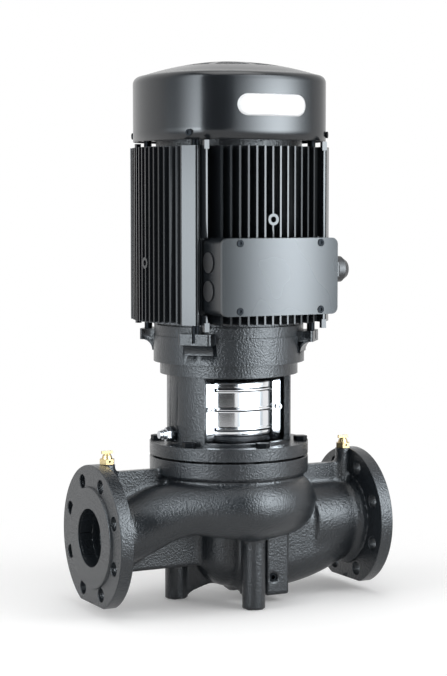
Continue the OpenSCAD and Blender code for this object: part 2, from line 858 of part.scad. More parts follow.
module guard_screws() {
  color([0.6, 0.6, 0.62]) for (turn = [0, 180], side = [-1, 1])
    rotate(turn) translate([side * (guard_half + tab_w / 2), 0, guard_mid])
      to_front(guard_y + guard_t / 2) socket_screw(5, 10, 8.5, 4);
}

// Coupling: two half shells clamped round both shaft ends
module coupling_half() {
  difference() {
    translate([0, 0, coupling_z]) cylinder(r = coupling_r, h = coupling_h);
    translate([0, 0, coupling_z - cut]) cylinder(r = pump_shaft_r + fit, h = coupling_h / 2);
    translate([0, 0, coupling_z + coupling_h / 2 - 2]) cylinder(r = shaft_end_r + fit, h = coupling_h);
    translate([-coupling_r - cut, -0.5, coupling_z - cut])
      cube([2 * coupling_r + 2 * cut, coupling_r + cut, coupling_h + 2 * cut]);
    clamp_places() {
      cylinder(d = clamp_bolt_d + 2 * fit, h = 2 * coupling_r, center = true);
      translate([0, 0, 16]) cylinder(d = clamp_bolt_d * 1.9, h = coupling_r);
      translate([0, 0, -16 - coupling_r]) cylinder(d = clamp_bolt_d * 1.9, h = coupling_r);
    }
  }
}

module clamp_places() {
  for (side = [-1, 1], level = [0.22, 0.78])
    translate([side * (shaft_end_r + 9), 0, coupling_z + coupling_h * level])
      rotate([90, 0, 0]) children();
}

module coupling_half_front() {
  color([0.3, 0.31, 0.33]) coupling_half();
}

module coupling_half_back() {
  color([0.3, 0.31, 0.33]) rotate(180) coupling_half();
}

module clamp_bolts() {
  color([0.2, 0.2, 0.22]) clamp_places() {
    translate([0, 0, -21]) cylinder(d = clamp_bolt_d, h = 37);
    translate([0, 0, 16]) cylinder(d = clamp_bolt_d * 1.6, h = clamp_bolt_d * 0.8);
    translate([0, 0, -16 - clamp_bolt_d * 0.8]) difference() {
      hexagon(clamp_bolt_d * 1.6, clamp_bolt_d * 0.8);
      translate([0, 0, -cut]) cylinder(d = clamp_bolt_d - 0.4, h = clamp_bolt_d);
    }
  }
}

// Motor
module drive_end_shield() {
  color([0.42, 0.43, 0.45]) difference() {
    union() {
      translate([0, 0, shield_z - 6]) cylinder(r = 70, h = 7);
      translate([0, 0, shield_z]) cylinder(r = head_r - 1, h = shield_t);
      translate([0, 0, shield_z + shield_t - cut])
        cylinder(r = barrel_r - 5, h = frame_z - shield_z - shield_t + cut);
      translate([0, 0, frame_z - cut]) cylinder(r = frame_bore_r - fit, h = 7);
      translate([0, 0, shield_z]) cylinder(r = low_bearing_r + 10, h = 8 + low_bearing_t + 2);
    }
    translate([0, 0, low_bearing_z]) cylinder(r = low_bearing_r + fit, h = low_bearing_t + 10);
    translate([0, 0, shield_z - 7]) cylinder(r = shaft_end_r + run, h = 20);
    translate([0, 0, shield_z + 8]) ring(frame_bore_r - 10, low_bearing_r + 10, 30);
  }
}

module fin_plan() {
  intersection() {
    for (k = [0 : fin_count - 1])
      translate([(k - (fin_count - 1) / 2) * fin_pitch - fin_t / 2, -face_r - 5])
        square([fin_t, face_r - 50]);
    translate([0, face_curve - face_r]) circle(face_curve, $fn = 180);
  }
}

module lobe_plan() {
  translate([barrel_r - 14, -lobe_half]) square([lobe_r - barrel_r + 9, 2 * lobe_half]);
  translate([lobe_r - 9, 4 - lobe_half]) square([9, 2 * lobe_half - 8]);
  for (side = [-1, 1])
    translate([lobe_r - 5, side * (lobe_half - 4.5)]) circle(4.4, $fn = 24);
}

module side_ribs() {
  for (turn = [0, 180], side = [-1, 1]) rotate(turn) translate([side * side_rib_x, 0]) children();
}

module motor_frame() {
  color([0.1, 0.11, 0.12]) difference() {
    union() {
      translate([0, 0, frame_z]) linear_extrude(frame_h) {
        circle(barrel_r);
        for (turn = [0 : 90 : 270]) rotate(turn) fin_plan();
        at_corners() lobe_plan();
        side_ribs() translate([-fin_t / 2, -side_rib_y]) square([fin_t, 28]);
      }
      for (z = [frame_z - 8, frame_top - 5])
        side_ribs() translate([-3.5, -side_rib_y - 0.5, z]) cube([7, 6, 12]);
      translate([0, 0, frame_z + frame_h * 0.59]) to_front(face_r - 20) cylinder(r = 8, h = 21);
      translate([0, 0, frame_z + frame_h * 0.34]) rotate(-90) to_front(face_r - 20)
        cylinder(r = 8, h = 21);
    }
    translate([0, 0, frame_z - cut]) cylinder(r = frame_bore_r, h = frame_h + 2 * cut);
    at_corners() translate([rod_ring, 0, frame_z - cut])
      cylinder(d = rod_d + 1, h = frame_h + 2 * cut);
    for (pocket = [[box_w + 0.6, box_back - 0.3], [box_w + 8, side_rib_y - 16]])
      translate([-pocket[0] / 2, -face_r - 30, box_z - box_h / 2 - 0.3])
        cube([pocket[0], face_r + 30 - pocket[1], box_h + 0.6]);
    translate([0, 0, box_z]) to_front(60) cylinder(r = wire_hole_r, h = 60);
    gland_place(box_w / 2 - 1) cylinder(r = gland_af * 0.6 + 0.6, h = 20);
    for (z = [-1, 1]) translate([-box_w / 2 - 3, -entry_y, box_z + z * entry_pitch / 2])
      rotate([0, 90, 0]) cylinder(d = entry_d + 4, h = 4);
    translate([0, 0, frame_z + frame_h * 0.59]) to_front(face_r - 14) cylinder(r = 4, h = 21);
    translate([0, 0, frame_z + frame_h * 0.34]) rotate(-90) to_front(face_r - 14)
      cylinder(r = 4, h = 21);
  }
}

module stator_core() {
  color([0.45, 0.46, 0.48]) translate([0, 0, core_z]) ring(frame_bore_r - fit, gap_r, core_h);
}

module stator_windings() {
  color([0.7, 0.38, 0.18]) for (z = [core_z - coil_h, core_z + core_h])
    translate([0, 0, z]) ring(frame_bore_r - 6, gap_r + 5, coil_h);
}

module rotor_core() {
  color([0.5, 0.51, 0.53]) translate([0, 0, core_z])
    ring(gap_r - run, rotor_shaft_r + fit, core_h);
}

module rotor_cage() {
  color([0.75, 0.76, 0.78]) for (z = [core_z - ring_end_h, core_z + core_h])
    translate([0, 0, z]) ring(gap_r - 3, gap_r - 20, ring_end_h);
}

module motor_shaft() {
  low = pump_shaft_top + shaft_gap;
  low_top = low_bearing_z + low_bearing_t;
  color([0.76, 0.77, 0.79]) {
    translate([0, 0, low]) cylinder(r = shaft_end_r, h = low_bearing_z - low);
    translate([0, 0, low_bearing_z]) cylinder(r = motor_shaft_r, h = low_bearing_t);
    translate([0, 0, low_top]) cylinder(r = rotor_shaft_r, h = top_bearing_z - low_top);
    translate([0, 0, top_bearing_z]) cylinder(r = top_shaft_r, h = top_bearing_t);
    translate([0, 0, top_bearing_top]) cylinder(r = fan_seat_r, h = shaft_top - top_bearing_top);
  }
}

// Ball bearings: outer ring, inner ring and a ring of balls in a cage
module bearing_outer(outer, shaft, t) {
  mid = (outer + shaft) / 2;
  difference() {
    ring(outer, mid + (outer - shaft) * 0.16, t);
    translate([0, 0, t / 2]) rotate_extrude() translate([mid, 0])
      circle(ball_r(outer, shaft) + fit, $fn = 32);
  }
}

module bearing_inner(outer, shaft, t) {
  mid = (outer + shaft) / 2;
  difference() {
    ring(mid - (outer - shaft) * 0.16, shaft + fit, t);
    translate([0, 0, t / 2]) rotate_extrude() translate([mid, 0])
      circle(ball_r(outer, shaft) + fit, $fn = 32);
  }
}

function ball_r(outer, shaft) = (outer - shaft) * 0.29;

module bearing_balls(outer, shaft, t, count) {
  mid = (outer + shaft) / 2;
  for (k = [0 : count - 1])
    rotate(k * 360 / count) translate([mid, 0, t / 2]) sphere(ball_r(outer, shaft), $fn = 24);
  translate([0, 0, t / 2 - 1]) ring(mid + 1.5, mid - 1.5, 2);
}

module low_bearing_outer() {
  color([0.7, 0.7, 0.72]) translate([0, 0, low_bearing_z])
    bearing_outer(low_bearing_r, motor_shaft_r, low_bearing_t);
}

module low_bearing_inner() {
  color([0.7, 0.7, 0.72]) translate([0, 0, low_bearing_z])
    bearing_inner(low_bearing_r, motor_shaft_r, low_bearing_t);
}

module low_bearing_balls() {
  color([0.85, 0.85, 0.86]) translate([0, 0, low_bearing_z])
    bearing_balls(low_bearing_r, motor_shaft_r, low_bearing_t, 8);
}

module top_bearing_outer() {
  color([0.7, 0.7, 0.72]) translate([0, 0, top_bearing_z])
    bearing_outer(top_bearing_r, top_shaft_r, top_bearing_t);
}

module top_bearing_inner() {
  color([0.7, 0.7, 0.72]) translate([0, 0, top_bearing_z])
    bearing_inner(top_bearing_r, top_shaft_r, top_bearing_t);
}

module top_bearing_balls() {
  color([0.85, 0.85, 0.86]) translate([0, 0, top_bearing_z])
    bearing_balls(top_bearing_r, top_shaft_r, top_bearing_t, 9);
}

module top_end_shield() {
  color([0.38, 0.39, 0.41]) difference() {
    union() {
      translate([0, 0, frame_top]) cylinder(r = barrel_r - 4, h = 12);
      translate([0, 0, frame_top - 7]) cylinder(r = frame_bore_r - fit, h = 8);
      translate([0, 0, top_bearing_z - 2])
        cylinder(r = top_bearing_r + 9, h = frame_top - top_bearing_z + 14);
      at_corners() {
        translate([barrel_r - 16, -arm_half, arm_z])
          cube([arm_reach - barrel_r + 16, 2 * arm_half, arm_t]);
        translate([barrel_r - 16, -arm_half, frame_top])
          cube([10, 2 * arm_half, arm_z - frame_top + 1]);
      }
    }
    translate([0, 0, top_bearing_z - 3]) cylinder(r = top_bearing_r + fit, h = top_bearing_t + 3);
    translate([0, 0, top_bearing_z]) cylinder(r = fan_seat_r + run, h = 60);
    translate([0, 0, frame_top - 8]) ring(frame_bore_r - 8, top_bearing_r + 9, 12);
    at_corners() {
      translate([rod_ring, 0, arm_z - cut]) cylinder(d = rod_d + 2 * fit, h = arm_t + 2 * cut);
      translate([cover_corner_r, 0, arm_z + 7]) rotate([0, -90, 0])
        cylinder(r = 2.5 + fit, h = cover_screw_l + 0.5);
    }
  }
}

module fan() {
  color([0.12, 0.12, 0.13]) difference() {
    union() {
      translate([0, 0, fan_z - 2]) cylinder(r = fan_seat_r + 8, h = 36);
      translate([0, 0, fan_z]) cylinder(r = fan_r - 8, h = 3);
      for (k = [0 : fan_blades - 1])
        rotate(k * 360 / fan_blades) translate([fan_seat_r + 4, -1.5, fan_z + 1])
          cube([fan_r - fan_seat_r - 4, 3, fan_h]);
    }
    translate([0, 0, fan_z - 3]) cylinder(r = fan_seat_r + fit, h = 60);
  }
}

// Plan of the fan cover: distance from the shaft at an angle, the least of the four
// bulged faces and the corner circle
function face_reach(a) =
  let (off = face_curve - face_r + 1)
  -off * cos(a) + sqrt(pow(face_curve, 2) - pow(off * sin(a), 2));
function plan_reach(a) = min(cover_corner_r, face_reach(a % 90 > 45 ? 90 - a % 90 : a % 90));

// Rounded upper edge, then a crown that rises to the middle. Each level of the cover is
// [height, inset from the plan, share of the way in to the shaft].
function cover_levels(wall, low, steps) =
  let (side_top = cover_edge - cover_round)
  concat(
    [[low, wall, 1]],
    [
      for (k = [0 : steps])
        let (t = k / steps)
        [side_top + cover_round * sin(90 * t) - wall * t,
         cover_round * (1 - cos(90 * t)) + wall * (1 - t), 1]
    ],
    [
      for (k = [1 : 3])
        let (in = 1 - k / 4)
        [cover_edge + crown_h * (1 - in * in) - wall, cover_round, in]
    ]
  );

module cover_solid(wall, low, steps) {
  sweep([
    for (level = cover_levels(wall, low, steps)) [
      for (a = [0 : 5 : 355])
        let (r = (plan_reach(a) - level[1]) * level[2]) [r * cos(a), r * sin(a), level[0]]
    ]
  ]);
}

module grille_plan() {
  difference() {
    for (k = [0 : 4]) difference() {
      circle(34 + 11 * k);
      circle(28 + 11 * k);
    }
    for (turn = [0 : 45 : 135]) rotate(turn) square([200, 7], center = true);
  }
}

module fan_cover() {
  color([0.15, 0.16, 0.18]) difference() {
    cover_solid(0, cover_low, 3);
    cover_solid(cover_t, cover_low - cut, 2);
    translate([0, 0, cover_edge - 2]) linear_extrude(crown_h + 10) grille_plan();
    at_corners() translate([cover_corner_r - 20, 0, arm_z + 7]) rotate([0, 90, 0])
      cylinder(r = 2.7, h = 40);
  }
}

module cover_screws() {
  color([0.3, 0.3, 0.32]) at_corners() translate([cover_corner_r, 0, arm_z + 7])
    rotate([0, 90, 0]) socket_screw(5, cover_screw_l, 9, 3);
}

module tie_rods() {
  low = shield_z - 5;
  color([0.45, 0.46, 0.48]) at_corners() translate([rod_ring, 0, low])
    cylinder(d = rod_d, h = arm_z + arm_t + 12 - low);
}

module tie_nuts() {
  color([0.5, 0.5, 0.52]) at_corners() translate([rod_ring, 0, arm_z + arm_t]) difference() {
    hexagon(rod_d * 1.6, 9);
    translate([0, 0, -cut]) cylinder(d = rod_d + 2 * fit, h = 11);
  }
}

// Terminal box
module box_plate(y, t) {
  translate([0, 0, box_z]) to_front(y) rounded_plate(box_w, box_h, t, box_round);
}

module lid_places() {
  for (x = [-1, 1], z = [-1, 1])
    translate([x * lid_screw_x, 0, box_z + z * lid_screw_z]) children();
}

module entry_places() {
  for (z = [-1, 1])
    translate([-box_w / 2, -entry_y, box_z + z * entry_pitch / 2]) rotate([0, 90, 0]) children();
}

module gland_place(x) {
  translate([x, -gland_y, box_z + gland_rise]) rotate([0, 90, 0]) children();
}

module terminal_box() {
  color([0.2, 0.21, 0.23]) difference() {
    union() {
      difference() {
        box_plate(box_back, box_front - box_back);
        difference() {
          translate([0, 0, box_z]) to_front(box_back + box_wall)
            rounded_plate(box_w - 2 * box_wall, box_h - 2 * box_wall, 60, box_round - box_wall / 2);
          cylinder(r = barrel_r + box_wall, h = 1000);
        }
      }
      lid_places() to_front(box_back + 1) cylinder(r = 5.5, h = box_front - box_back - 1);
      for (x = [-1, 1]) translate([x * board_screw_x, 0, box_z]) to_front(board_back - 12)
        cylinder(r = 6, h = 12);
    }
    cylinder(r = barrel_r + fit, h = 1000);
    translate([0, 0, box_z]) to_front(60) cylinder(r = wire_hole_r, h = 60);
    lid_places() to_front(box_front - 14) cylinder(r = 2.5 + fit, h = 20);
    entry_places() translate([0, 0, -cut]) cylinder(d = entry_d, h = box_wall + 2 * cut);
    gland_place(box_w / 2 - box_wall - cut) cylinder(d = entry_d, h = box_wall + 2 * cut);
    for (x = [-1, 1])
      translate([x * board_screw_x, 0, box_z]) to_front(60) cylinder(r = 2.5 + fit, h = 60);
  }
}

module box_gasket() {
  color([0.05, 0.05, 0.05]) difference() {
    box_plate(box_front, gasket_t);
    translate([0, 0, box_z]) to_front(box_front - cut)
      rounded_plate(box_w - 36, box_h - 36, gasket_t + 2 * cut, box_round);
    lid_places() to_front(box_front - cut) cylinder(r = 2.7, h = 5);
  }
}

module terminal_lid() {
  color([0.32, 0.33, 0.35]) difference() {
    box_plate(lid_y, lid_t);
    lid_places() to_front(lid_y - cut) cylinder(r = 2.7, h = 20);
    lid_places() to_front(lid_y + lid_t - 2.5) cylinder(r = 5.2, h = 20);
  }
}

module lid_screws() {
  color([0.2, 0.2, 0.21]) lid_places() to_front(lid_y + lid_t - 2.5)
    socket_screw(5, 14, 9, 3);
}

module entry_plugs() {
  color([0.1, 0.1, 0.11]) entry_places() {
    translate([0, 0, -2]) cylinder(d = entry_d + 2, h = 2);
    cylinder(d = entry_d - 2 * fit, h = box_wall);
  }
}

module gland_body() {
  color([0.15, 0.15, 0.16]) gland_place(box_w / 2) difference() {
      union() {
        translate([0, 0, -box_wall]) cylinder(d = entry_d - 2 * fit, h = box_wall + 1);
        hexagon(gland_af, gland_hex_h);
        cylinder(d = entry_d, h = gland_hex_h + 10);
      }
      translate([0, 0, -20]) cylinder(r = 7, h = 60);
    }
}

module gland_nut() {
  color([0.13, 0.13, 0.14]) gland_place(box_w / 2 + gland_hex_h + 0.3) difference() {
      union() {
        cylinder(r = gland_nut_r, h = 10);
        translate([0, 0, 10 - 0.1]) cylinder(r1 = gland_nut_r - 0.5, r2 = 12, h = 8.1);
      }
      translate([0, 0, -cut]) cylinder(r = entry_d / 2 + fit, h = 10 + cut);
      cylinder(r = 7, h = 30);
    }
}

module terminal_board() {
  color([0.3, 0.12, 0.08]) difference() {
    translate([-board_w / 2, fit - board_front, box_z - board_h / 2])
      cube([board_w, board_t - fit, board_h]);
    translate([0, 0, box_z]) to_front(60) cylinder(r = 12, h = 80);
    for (x = [-1, 1])
      translate([x * board_screw_x, 0, box_z]) to_front(60) cylinder(r = 2.5 + fit, h = 90);
  }
}

module stud_places() {
  for (x = [-1, 0, 1], z = [-1, 1])
    translate([x * 24, 0, box_z + z * 21]) to_front(board_front) children();
}

module terminal_studs() {
  color([0.78, 0.62, 0.3]) stud_places() {
    cylinder(r = 2.5, h = 14);
    translate([0, 0, 2.05]) hexagon(8, 4);
  }
}

module terminal_links() {
  color([0.8, 0.66, 0.34]) for (x = [-1, 0, 1])
    translate([x * 24, 0, box_z]) to_front(board_front) difference() {
      translate([-5, -26, 0]) cube([10, 52, 2]);
      for (z = [-1, 1]) translate([0, z * 21, -cut]) cylinder(r = 2.5 + fit, h = 5);
    }
}

module box_screws() {
  color([0.6, 0.6, 0.6]) for (x = [-1, 1])
    translate([x * board_screw_x, 0, box_z]) to_front(board_front) socket_screw(5, 18, 8.5, 4);
}

pump_casing();
casing_wear_ring();
cover_seal_ring();
pump_cover();
seal_seat();
seal_face();
seal_spring();
impeller();
impeller_nut();
impeller_key();
pump_shaft();
joint_bolts();
drain_plug();
vent_body();
vent_screw();
suction_cock();
suction_key();
discharge_cock();
discharge_key();
lantern_bracket();
guard_front();
guard_back();
guard_screws();
coupling_half_front();
coupling_half_back();
clamp_bolts();
drive_end_shield();
motor_frame();
stator_core();
stator_windings();
rotor_core();
rotor_cage();
motor_shaft();
low_bearing_outer();
low_bearing_inner();
low_bearing_balls();
top_bearing_outer();
top_bearing_inner();
top_bearing_balls();
top_end_shield();
fan();
fan_cover();
cover_screws();
tie_rods();
tie_nuts();
terminal_box();
box_gasket();
terminal_lid();
lid_screws();
entry_plugs();
gland_body();
gland_nut();
terminal_board();
terminal_studs();
terminal_links();
box_screws();
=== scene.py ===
# %% [markdown]
# # Dressing an in-line pump
# The pump stands on three feet between two pipe flanges. Its casting, lantern and motor come
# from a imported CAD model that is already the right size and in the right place. This lesson
# gives those solids their finishes, softens their edges, and makes anew the few pieces whose
# curves a plain solid can't show: the cast volute, the fan cover and the coupling guards.

import json
import math

import bmesh
import bpy
import numpy as np
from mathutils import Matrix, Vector

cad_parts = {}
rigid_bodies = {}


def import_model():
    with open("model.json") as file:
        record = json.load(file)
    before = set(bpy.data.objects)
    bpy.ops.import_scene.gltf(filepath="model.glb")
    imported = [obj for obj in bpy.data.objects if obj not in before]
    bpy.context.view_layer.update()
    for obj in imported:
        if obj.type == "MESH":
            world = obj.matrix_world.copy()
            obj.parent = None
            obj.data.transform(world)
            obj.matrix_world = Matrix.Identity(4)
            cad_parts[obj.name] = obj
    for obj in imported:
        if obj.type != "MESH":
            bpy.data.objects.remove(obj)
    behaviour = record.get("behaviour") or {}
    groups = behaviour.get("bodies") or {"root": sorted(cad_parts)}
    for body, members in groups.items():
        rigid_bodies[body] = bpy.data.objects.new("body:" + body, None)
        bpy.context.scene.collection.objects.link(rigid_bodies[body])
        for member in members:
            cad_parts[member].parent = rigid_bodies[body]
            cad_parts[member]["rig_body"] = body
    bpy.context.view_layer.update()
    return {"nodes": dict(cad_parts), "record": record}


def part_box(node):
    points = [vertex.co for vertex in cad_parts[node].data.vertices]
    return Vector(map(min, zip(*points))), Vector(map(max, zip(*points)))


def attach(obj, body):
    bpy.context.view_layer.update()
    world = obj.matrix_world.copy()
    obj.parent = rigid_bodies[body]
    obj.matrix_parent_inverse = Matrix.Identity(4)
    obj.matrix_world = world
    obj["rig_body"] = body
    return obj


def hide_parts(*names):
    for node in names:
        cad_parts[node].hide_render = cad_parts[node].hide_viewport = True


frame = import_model()
nodes = frame["nodes"]
MM = 0.001

# %% [markdown]
# ## Shader maths as plain expressions
# A finish is a small sum: some grain, some tarnish, a base colour. Blender writes such sums as
# nodes. A class that wraps a socket and overloads the operators lets us write the sum itself,
# and one method makes any other node.

# %% A socket that can be added and multiplied


class Tone:
    """A number or colour inside a material. Operators between tones add a Math node."""

    def __init__(self, tree, socket):
        self.tree, self.socket = tree, socket

    def combine(self, operation, first, second, clamp=False):
        maths = self.tree.nodes.new("ShaderNodeMath")
        maths.operation, maths.use_clamp = operation, clamp
        fill(self.tree, maths.inputs[0], first)
        fill(self.tree, maths.inputs[1], second)
        return Tone(self.tree, maths.outputs[0])

    def __add__(self, other):
        return self.combine("ADD", self, other)

    def __sub__(self, other):
        return self.combine("SUBTRACT", self, other)

    def __rsub__(self, other):
        return self.combine("SUBTRACT", other, self)

    def __mul__(self, other):
        return self.combine("MULTIPLY", self, other)

    __radd__, __rmul__ = __add__, __mul__


def fill(tree, slot, value):
    """Links a tone to a socket, or writes a plain value on it."""
    if isinstance(value, Tone):
        tree.links.new(value.socket, slot)
    else:
        slot.default_value = value


class Bench:
    """A node tree under construction, and one way to add a node to it."""

    def __init__(self, tree):
        self.tree = tree

    def node(self, kind, output=0, settings=None, **sockets):
        """Adds a node of a kind, sets it, fills its sockets, and returns one output.

        A socket goes by its name, or by its number after an underscore."""
        made = self.tree.nodes.new("ShaderNode" + kind)
        for key, value in (settings or {}).items():
            setattr(made, key, value)
        for key, value in sockets.items():
            number = key[1:]
            slot = int(number) if number.isdigit() else key.replace("_", " ")
            fill(self.tree, made.inputs[slot], value)
        return Tone(self.tree, made.outputs[output])

    def between(self, mask, low, high):
        """A colour that runs from low to high as the mask goes from 0 to 1."""
        ends = {"_6": (*low, 1), "_7": (*high, 1)}
        return self.node("Mix", output=2, settings={"data_type": "RGBA"}, _0=mask, **ends)

    def smooth(self, value, low, high):
        """0 below low, 1 above high, and a soft step between them."""
        soft = {"interpolation_type": "SMOOTHSTEP"}
        return self.node("MapRange", settings=soft, Value=value, From_Min=low, From_Max=high)

    def place(self):
        """Where the shaded point lies, in the object's own coordinates."""
        return self.node("TexCoord", output=3)


class Finish(Bench):
    """A material under construction, with its main shader."""

    def __init__(self, name):
        self.material = bpy.data.materials.new(name)
        self.material.use_nodes = True
        super().__init__(self.material.node_tree)
        self.shader = self.tree.nodes["Principled BSDF"]

    def set(self, **sockets):
        """Puts values or tones on the shader's own sockets."""
        for key, value in sockets.items():
            fill(self.tree, self.shader.inputs[key.replace("_", " ")], value)

    def grain(self, scale, detail=3.0, roughness=0.5):
        """Soft noise between 0 and 1."""
        look = {"Scale": scale, "Detail": detail, "Roughness": roughness}
        return self.node("TexNoise", Vector=self.place(), **look)

    def bumped(self, height, strength, distance, **under):
        """The normal after a height is laid on the surface, or on another bump under it."""
        return self.node("Bump", Height=height, Strength=strength, Distance=distance, **under)


finishes = {}
print("shader helpers ready")

# %% [markdown]
# ## Black paint, rough and smooth
# The iron castings keep the skin of their sand mould under the paint, so their paint is grainy
# and catches light in fine points. The motor's aluminium and its pressed cover are smoother.
# A bump of fine noise gives the skin, and a slow noise changes the gloss a little from place to
# place, as sprayed paint does. The lid is pressed with a slight crown, which a second bump adds
# to the shading alone.

# %% Painted metals
CROWN_LINE = 0.006


def paint(name, dark, light, gloss, skin_scale, skin_strength, skin_depth, crown=0.0):
    """Paint: colour between two near tones, gloss that wanders, and a skin of fine noise.

    A crown bends the shading as if the piece fell away by crown times the square of the way
    along X from the crown's line, in metres."""
    made = Finish(name)
    drift = made.grain(9.0, 2.0)
    facing = made.bumped(made.grain(skin_scale, 2.0, 0.6), skin_strength, skin_depth)
    if crown:
        off = made.node("SeparateXYZ", Vector=made.place()) - CROWN_LINE
        facing = made.bumped(off * off * -crown, 1.0, 1.0, Normal=facing)
    made.set(
        Base_Color=made.between(drift, dark, light),
        Roughness=gloss + 0.10 * drift,
        Normal=facing,
    )
    finishes[name] = made.material


paint("cast_paint", (0.011, 0.014, 0.017), (0.017, 0.021, 0.026), 0.20, 380.0, 0.9, 0.0010)
paint("aluminium_paint", (0.008, 0.010, 0.012), (0.011, 0.013, 0.016), 0.17, 420.0, 0.1, 0.0002)
paint("lid_paint", (0.050, 0.058, 0.064), (0.058, 0.066, 0.073), 0.22, 480.0, 0.12, 0.0002, 1.7)
paint_count = len(finishes)
print("paints:", sorted(finishes))

# %% [markdown]
# ## Bare metals
# Turned steel, drawn wire, brass and copper differ in colour and in how far their surface
# scatters light. A metal has no colour of its own beyond its reflection, so the noise only
# moves its gloss and mixes in a little tarnish.

# %% Metals


def metal(name, colour, tarnish, gloss, scale=60.0, skin=0.05):
    """Bare metal: reflection tinted by a colour, dulled where a noise is high."""
    made = Finish(name)
    cloud = made.grain(scale, 4.0, 0.6)
    made.set(
        Base_Color=made.between(cloud * 0.7, colour, tarnish),
        Metallic=1.0,
        Roughness=gloss + 0.12 * cloud,
        Normal=made.bumped(cloud, skin, 0.0002),
    )
    finishes[name] = made.material


metal("machined_iron", (0.34, 0.35, 0.37), (0.22, 0.22, 0.23), 0.32)
metal("bronze", (0.60, 0.42, 0.20), (0.36, 0.24, 0.12), 0.30)
metal("spring_steel", (0.60, 0.60, 0.62), (0.40, 0.40, 0.42), 0.22)
metal("stainless", (0.82, 0.83, 0.85), (0.74, 0.75, 0.77), 0.06, 14.0, 0.01)
metal("shaft_steel", (0.60, 0.61, 0.63), (0.44, 0.45, 0.47), 0.24)
metal("black_steel", (0.006, 0.007, 0.008), (0.014, 0.015, 0.017), 0.38, 160.0)
metal("brass", (0.52, 0.40, 0.22), (0.36, 0.26, 0.12), 0.30, 180.0)
metal("bare_aluminium", (0.62, 0.63, 0.65), (0.48, 0.49, 0.51), 0.36)
metal("core_steel", (0.22, 0.22, 0.24), (0.14, 0.14, 0.15), 0.42)
metal("copper", (0.62, 0.26, 0.11), (0.38, 0.14, 0.06), 0.30, 220.0)
metal("bearing_steel", (0.72, 0.73, 0.75), (0.62, 0.63, 0.65), 0.10)
print("metals:", len(finishes) - paint_count)

# %% [markdown]
# ## Rubber, carbon, ceramic and mouldings
# These are dielectrics: a dull body colour under a weak reflection. They share one recipe.

# %% Mouldings


def moulding(name, dark, light, gloss, scale=120.0, skin=0.1):
    """A moulded or lapped piece: body colour with a faint mottle and a soft skin."""
    made = Finish(name)
    mottle = made.grain(scale)
    made.set(
        Base_Color=made.between(mottle, dark, light),
        Roughness=gloss + 0.1 * mottle,
        Normal=made.bumped(mottle, skin, 0.0002),
    )
    finishes[name] = made.material


moulding("rubber", (0.012, 0.012, 0.012), (0.020, 0.020, 0.020), 0.62)
moulding("carbon", (0.030, 0.030, 0.032), (0.042, 0.042, 0.045), 0.45)
moulding("ceramic", (0.70, 0.69, 0.64), (0.78, 0.77, 0.73), 0.28)
moulding("fan_plastic", (0.016, 0.016, 0.018), (0.024, 0.024, 0.026), 0.42)
moulding("gland_plastic", (0.012, 0.012, 0.013), (0.018, 0.018, 0.020), 0.34)
moulding("board_plastic", (0.16, 0.055, 0.035), (0.20, 0.075, 0.048), 0.40)
moulding("plate_white", (0.80, 0.81, 0.82), (0.86, 0.87, 0.88), 0.30, 40.0, 0.02)
print("finishes:", len(finishes))

# %% Give every CAD node the finish of its material slot
slot_of = {part["node"]: part["material_slot"] for part in frame["record"]["subparts"]}
for name, slot in slot_of.items():
    nodes[name].data.materials.clear()
    nodes[name].data.materials.append(finishes[slot])
print("dressed", len(slot_of), "nodes")

# %% [markdown]
# ## A smooth union of distances
# The casing is one casting: the scroll, its outlet pipe, the suction duct, the feet and the
# ribs run into each other through soft fillets. Sweeps joined by booleans would meet in sharp
# lines. A distance function knows how far each point of space is from a form, and a smooth
# minimum of several such functions is one form with fillets. A surface net then reads off the
# mesh where the distance is zero.

# %% Distances and how to join them


def melt(first, second, radius):
    """Smooth union: the lesser distance, less radius/4 times the square of how nearly they tie."""
    tie = np.clip(1 - np.abs(first - second) / radius, 0, None)
    return np.minimum(first, second) - radius / 4 * tie**2


def upright(p, x, y, radius, low, high):
    """Distance from an upright cylinder: the farther of its wall and its two ends."""
    ends = np.maximum(low - p[2], p[2] - high)
    return np.maximum(np.hypot(p[0] - x, p[1] - y) - radius, ends)


def level_tube(p, radius, low, high, z):
    """Distance from a cylinder that lies along X at height z: the farther of wall and ends."""
    return np.maximum(np.hypot(p[1], p[2] - z) - radius, np.maximum(low - p[0], p[0] - high))


def block(p, low, high, turn=0.0):
    """Distance from a box, after turning space back by an angle about Z: its farthest side."""
    c, s = math.cos(turn), math.sin(turn)
    q = (c * p[0] + s * p[1], c * p[1] - s * p[0], p[2])
    return np.maximum.reduce([np.maximum(a - v, v - b) for a, v, b in zip(low, q, high)])


print("a tie melts to", float(melt(np.zeros(1), np.zeros(1), 10.0)[0]), "at radius 10")

# %% The casing's sizes, in millimetres
REACH, PIPE_Z, SCROLL_Z = 215.0, 105.0, 143.0
PLATE_T, RAISED_T, RAISED_R, BORE_R, FLANGE_R, FLAT = 19.0, 3.0, 70.5, 40.0, 100.0, 92.0
PLATE_BACK = REACH - RAISED_T - PLATE_T
WALL = 7.0
SCROLL_RING, SCROLL_START, SCROLL_END = 81.0, 26.0, 46.0
SCROLL_FROM, SCROLL_TO = math.radians(225), math.radians(-90)
OUTLET_RUN, OUTLET_DIP, DIP_SPAN, DROP_FROM = PLATE_BACK - 8, 10.0, 1.1, 0.42
BARREL_R, BARREL_LOW, BARREL_HIGH = 100.0, 117.0, 190.0
JOINT_Z, RIM_R, RIM_LOW, RIM_T, CHAMBER_R = 208.0, 112.0, 184.0, 22.0, 88.0
DUCT_Z, DUCT_R, DUCT_CURVE, DUCT_START, DUCT_SHARE = 58.0, 46.0, 182.0, 60.0, 0.9
BOWL_Z, BOWL_R, BOWL_TOP = 66.0, 47.0, 125.0
COLLAR_R, COLLAR_Z = 55.0, 107.0
NECK_R, HUB_R, COCK_X, COCK_BOSS_R = 50.0, 64.0, 188.0, 11.0
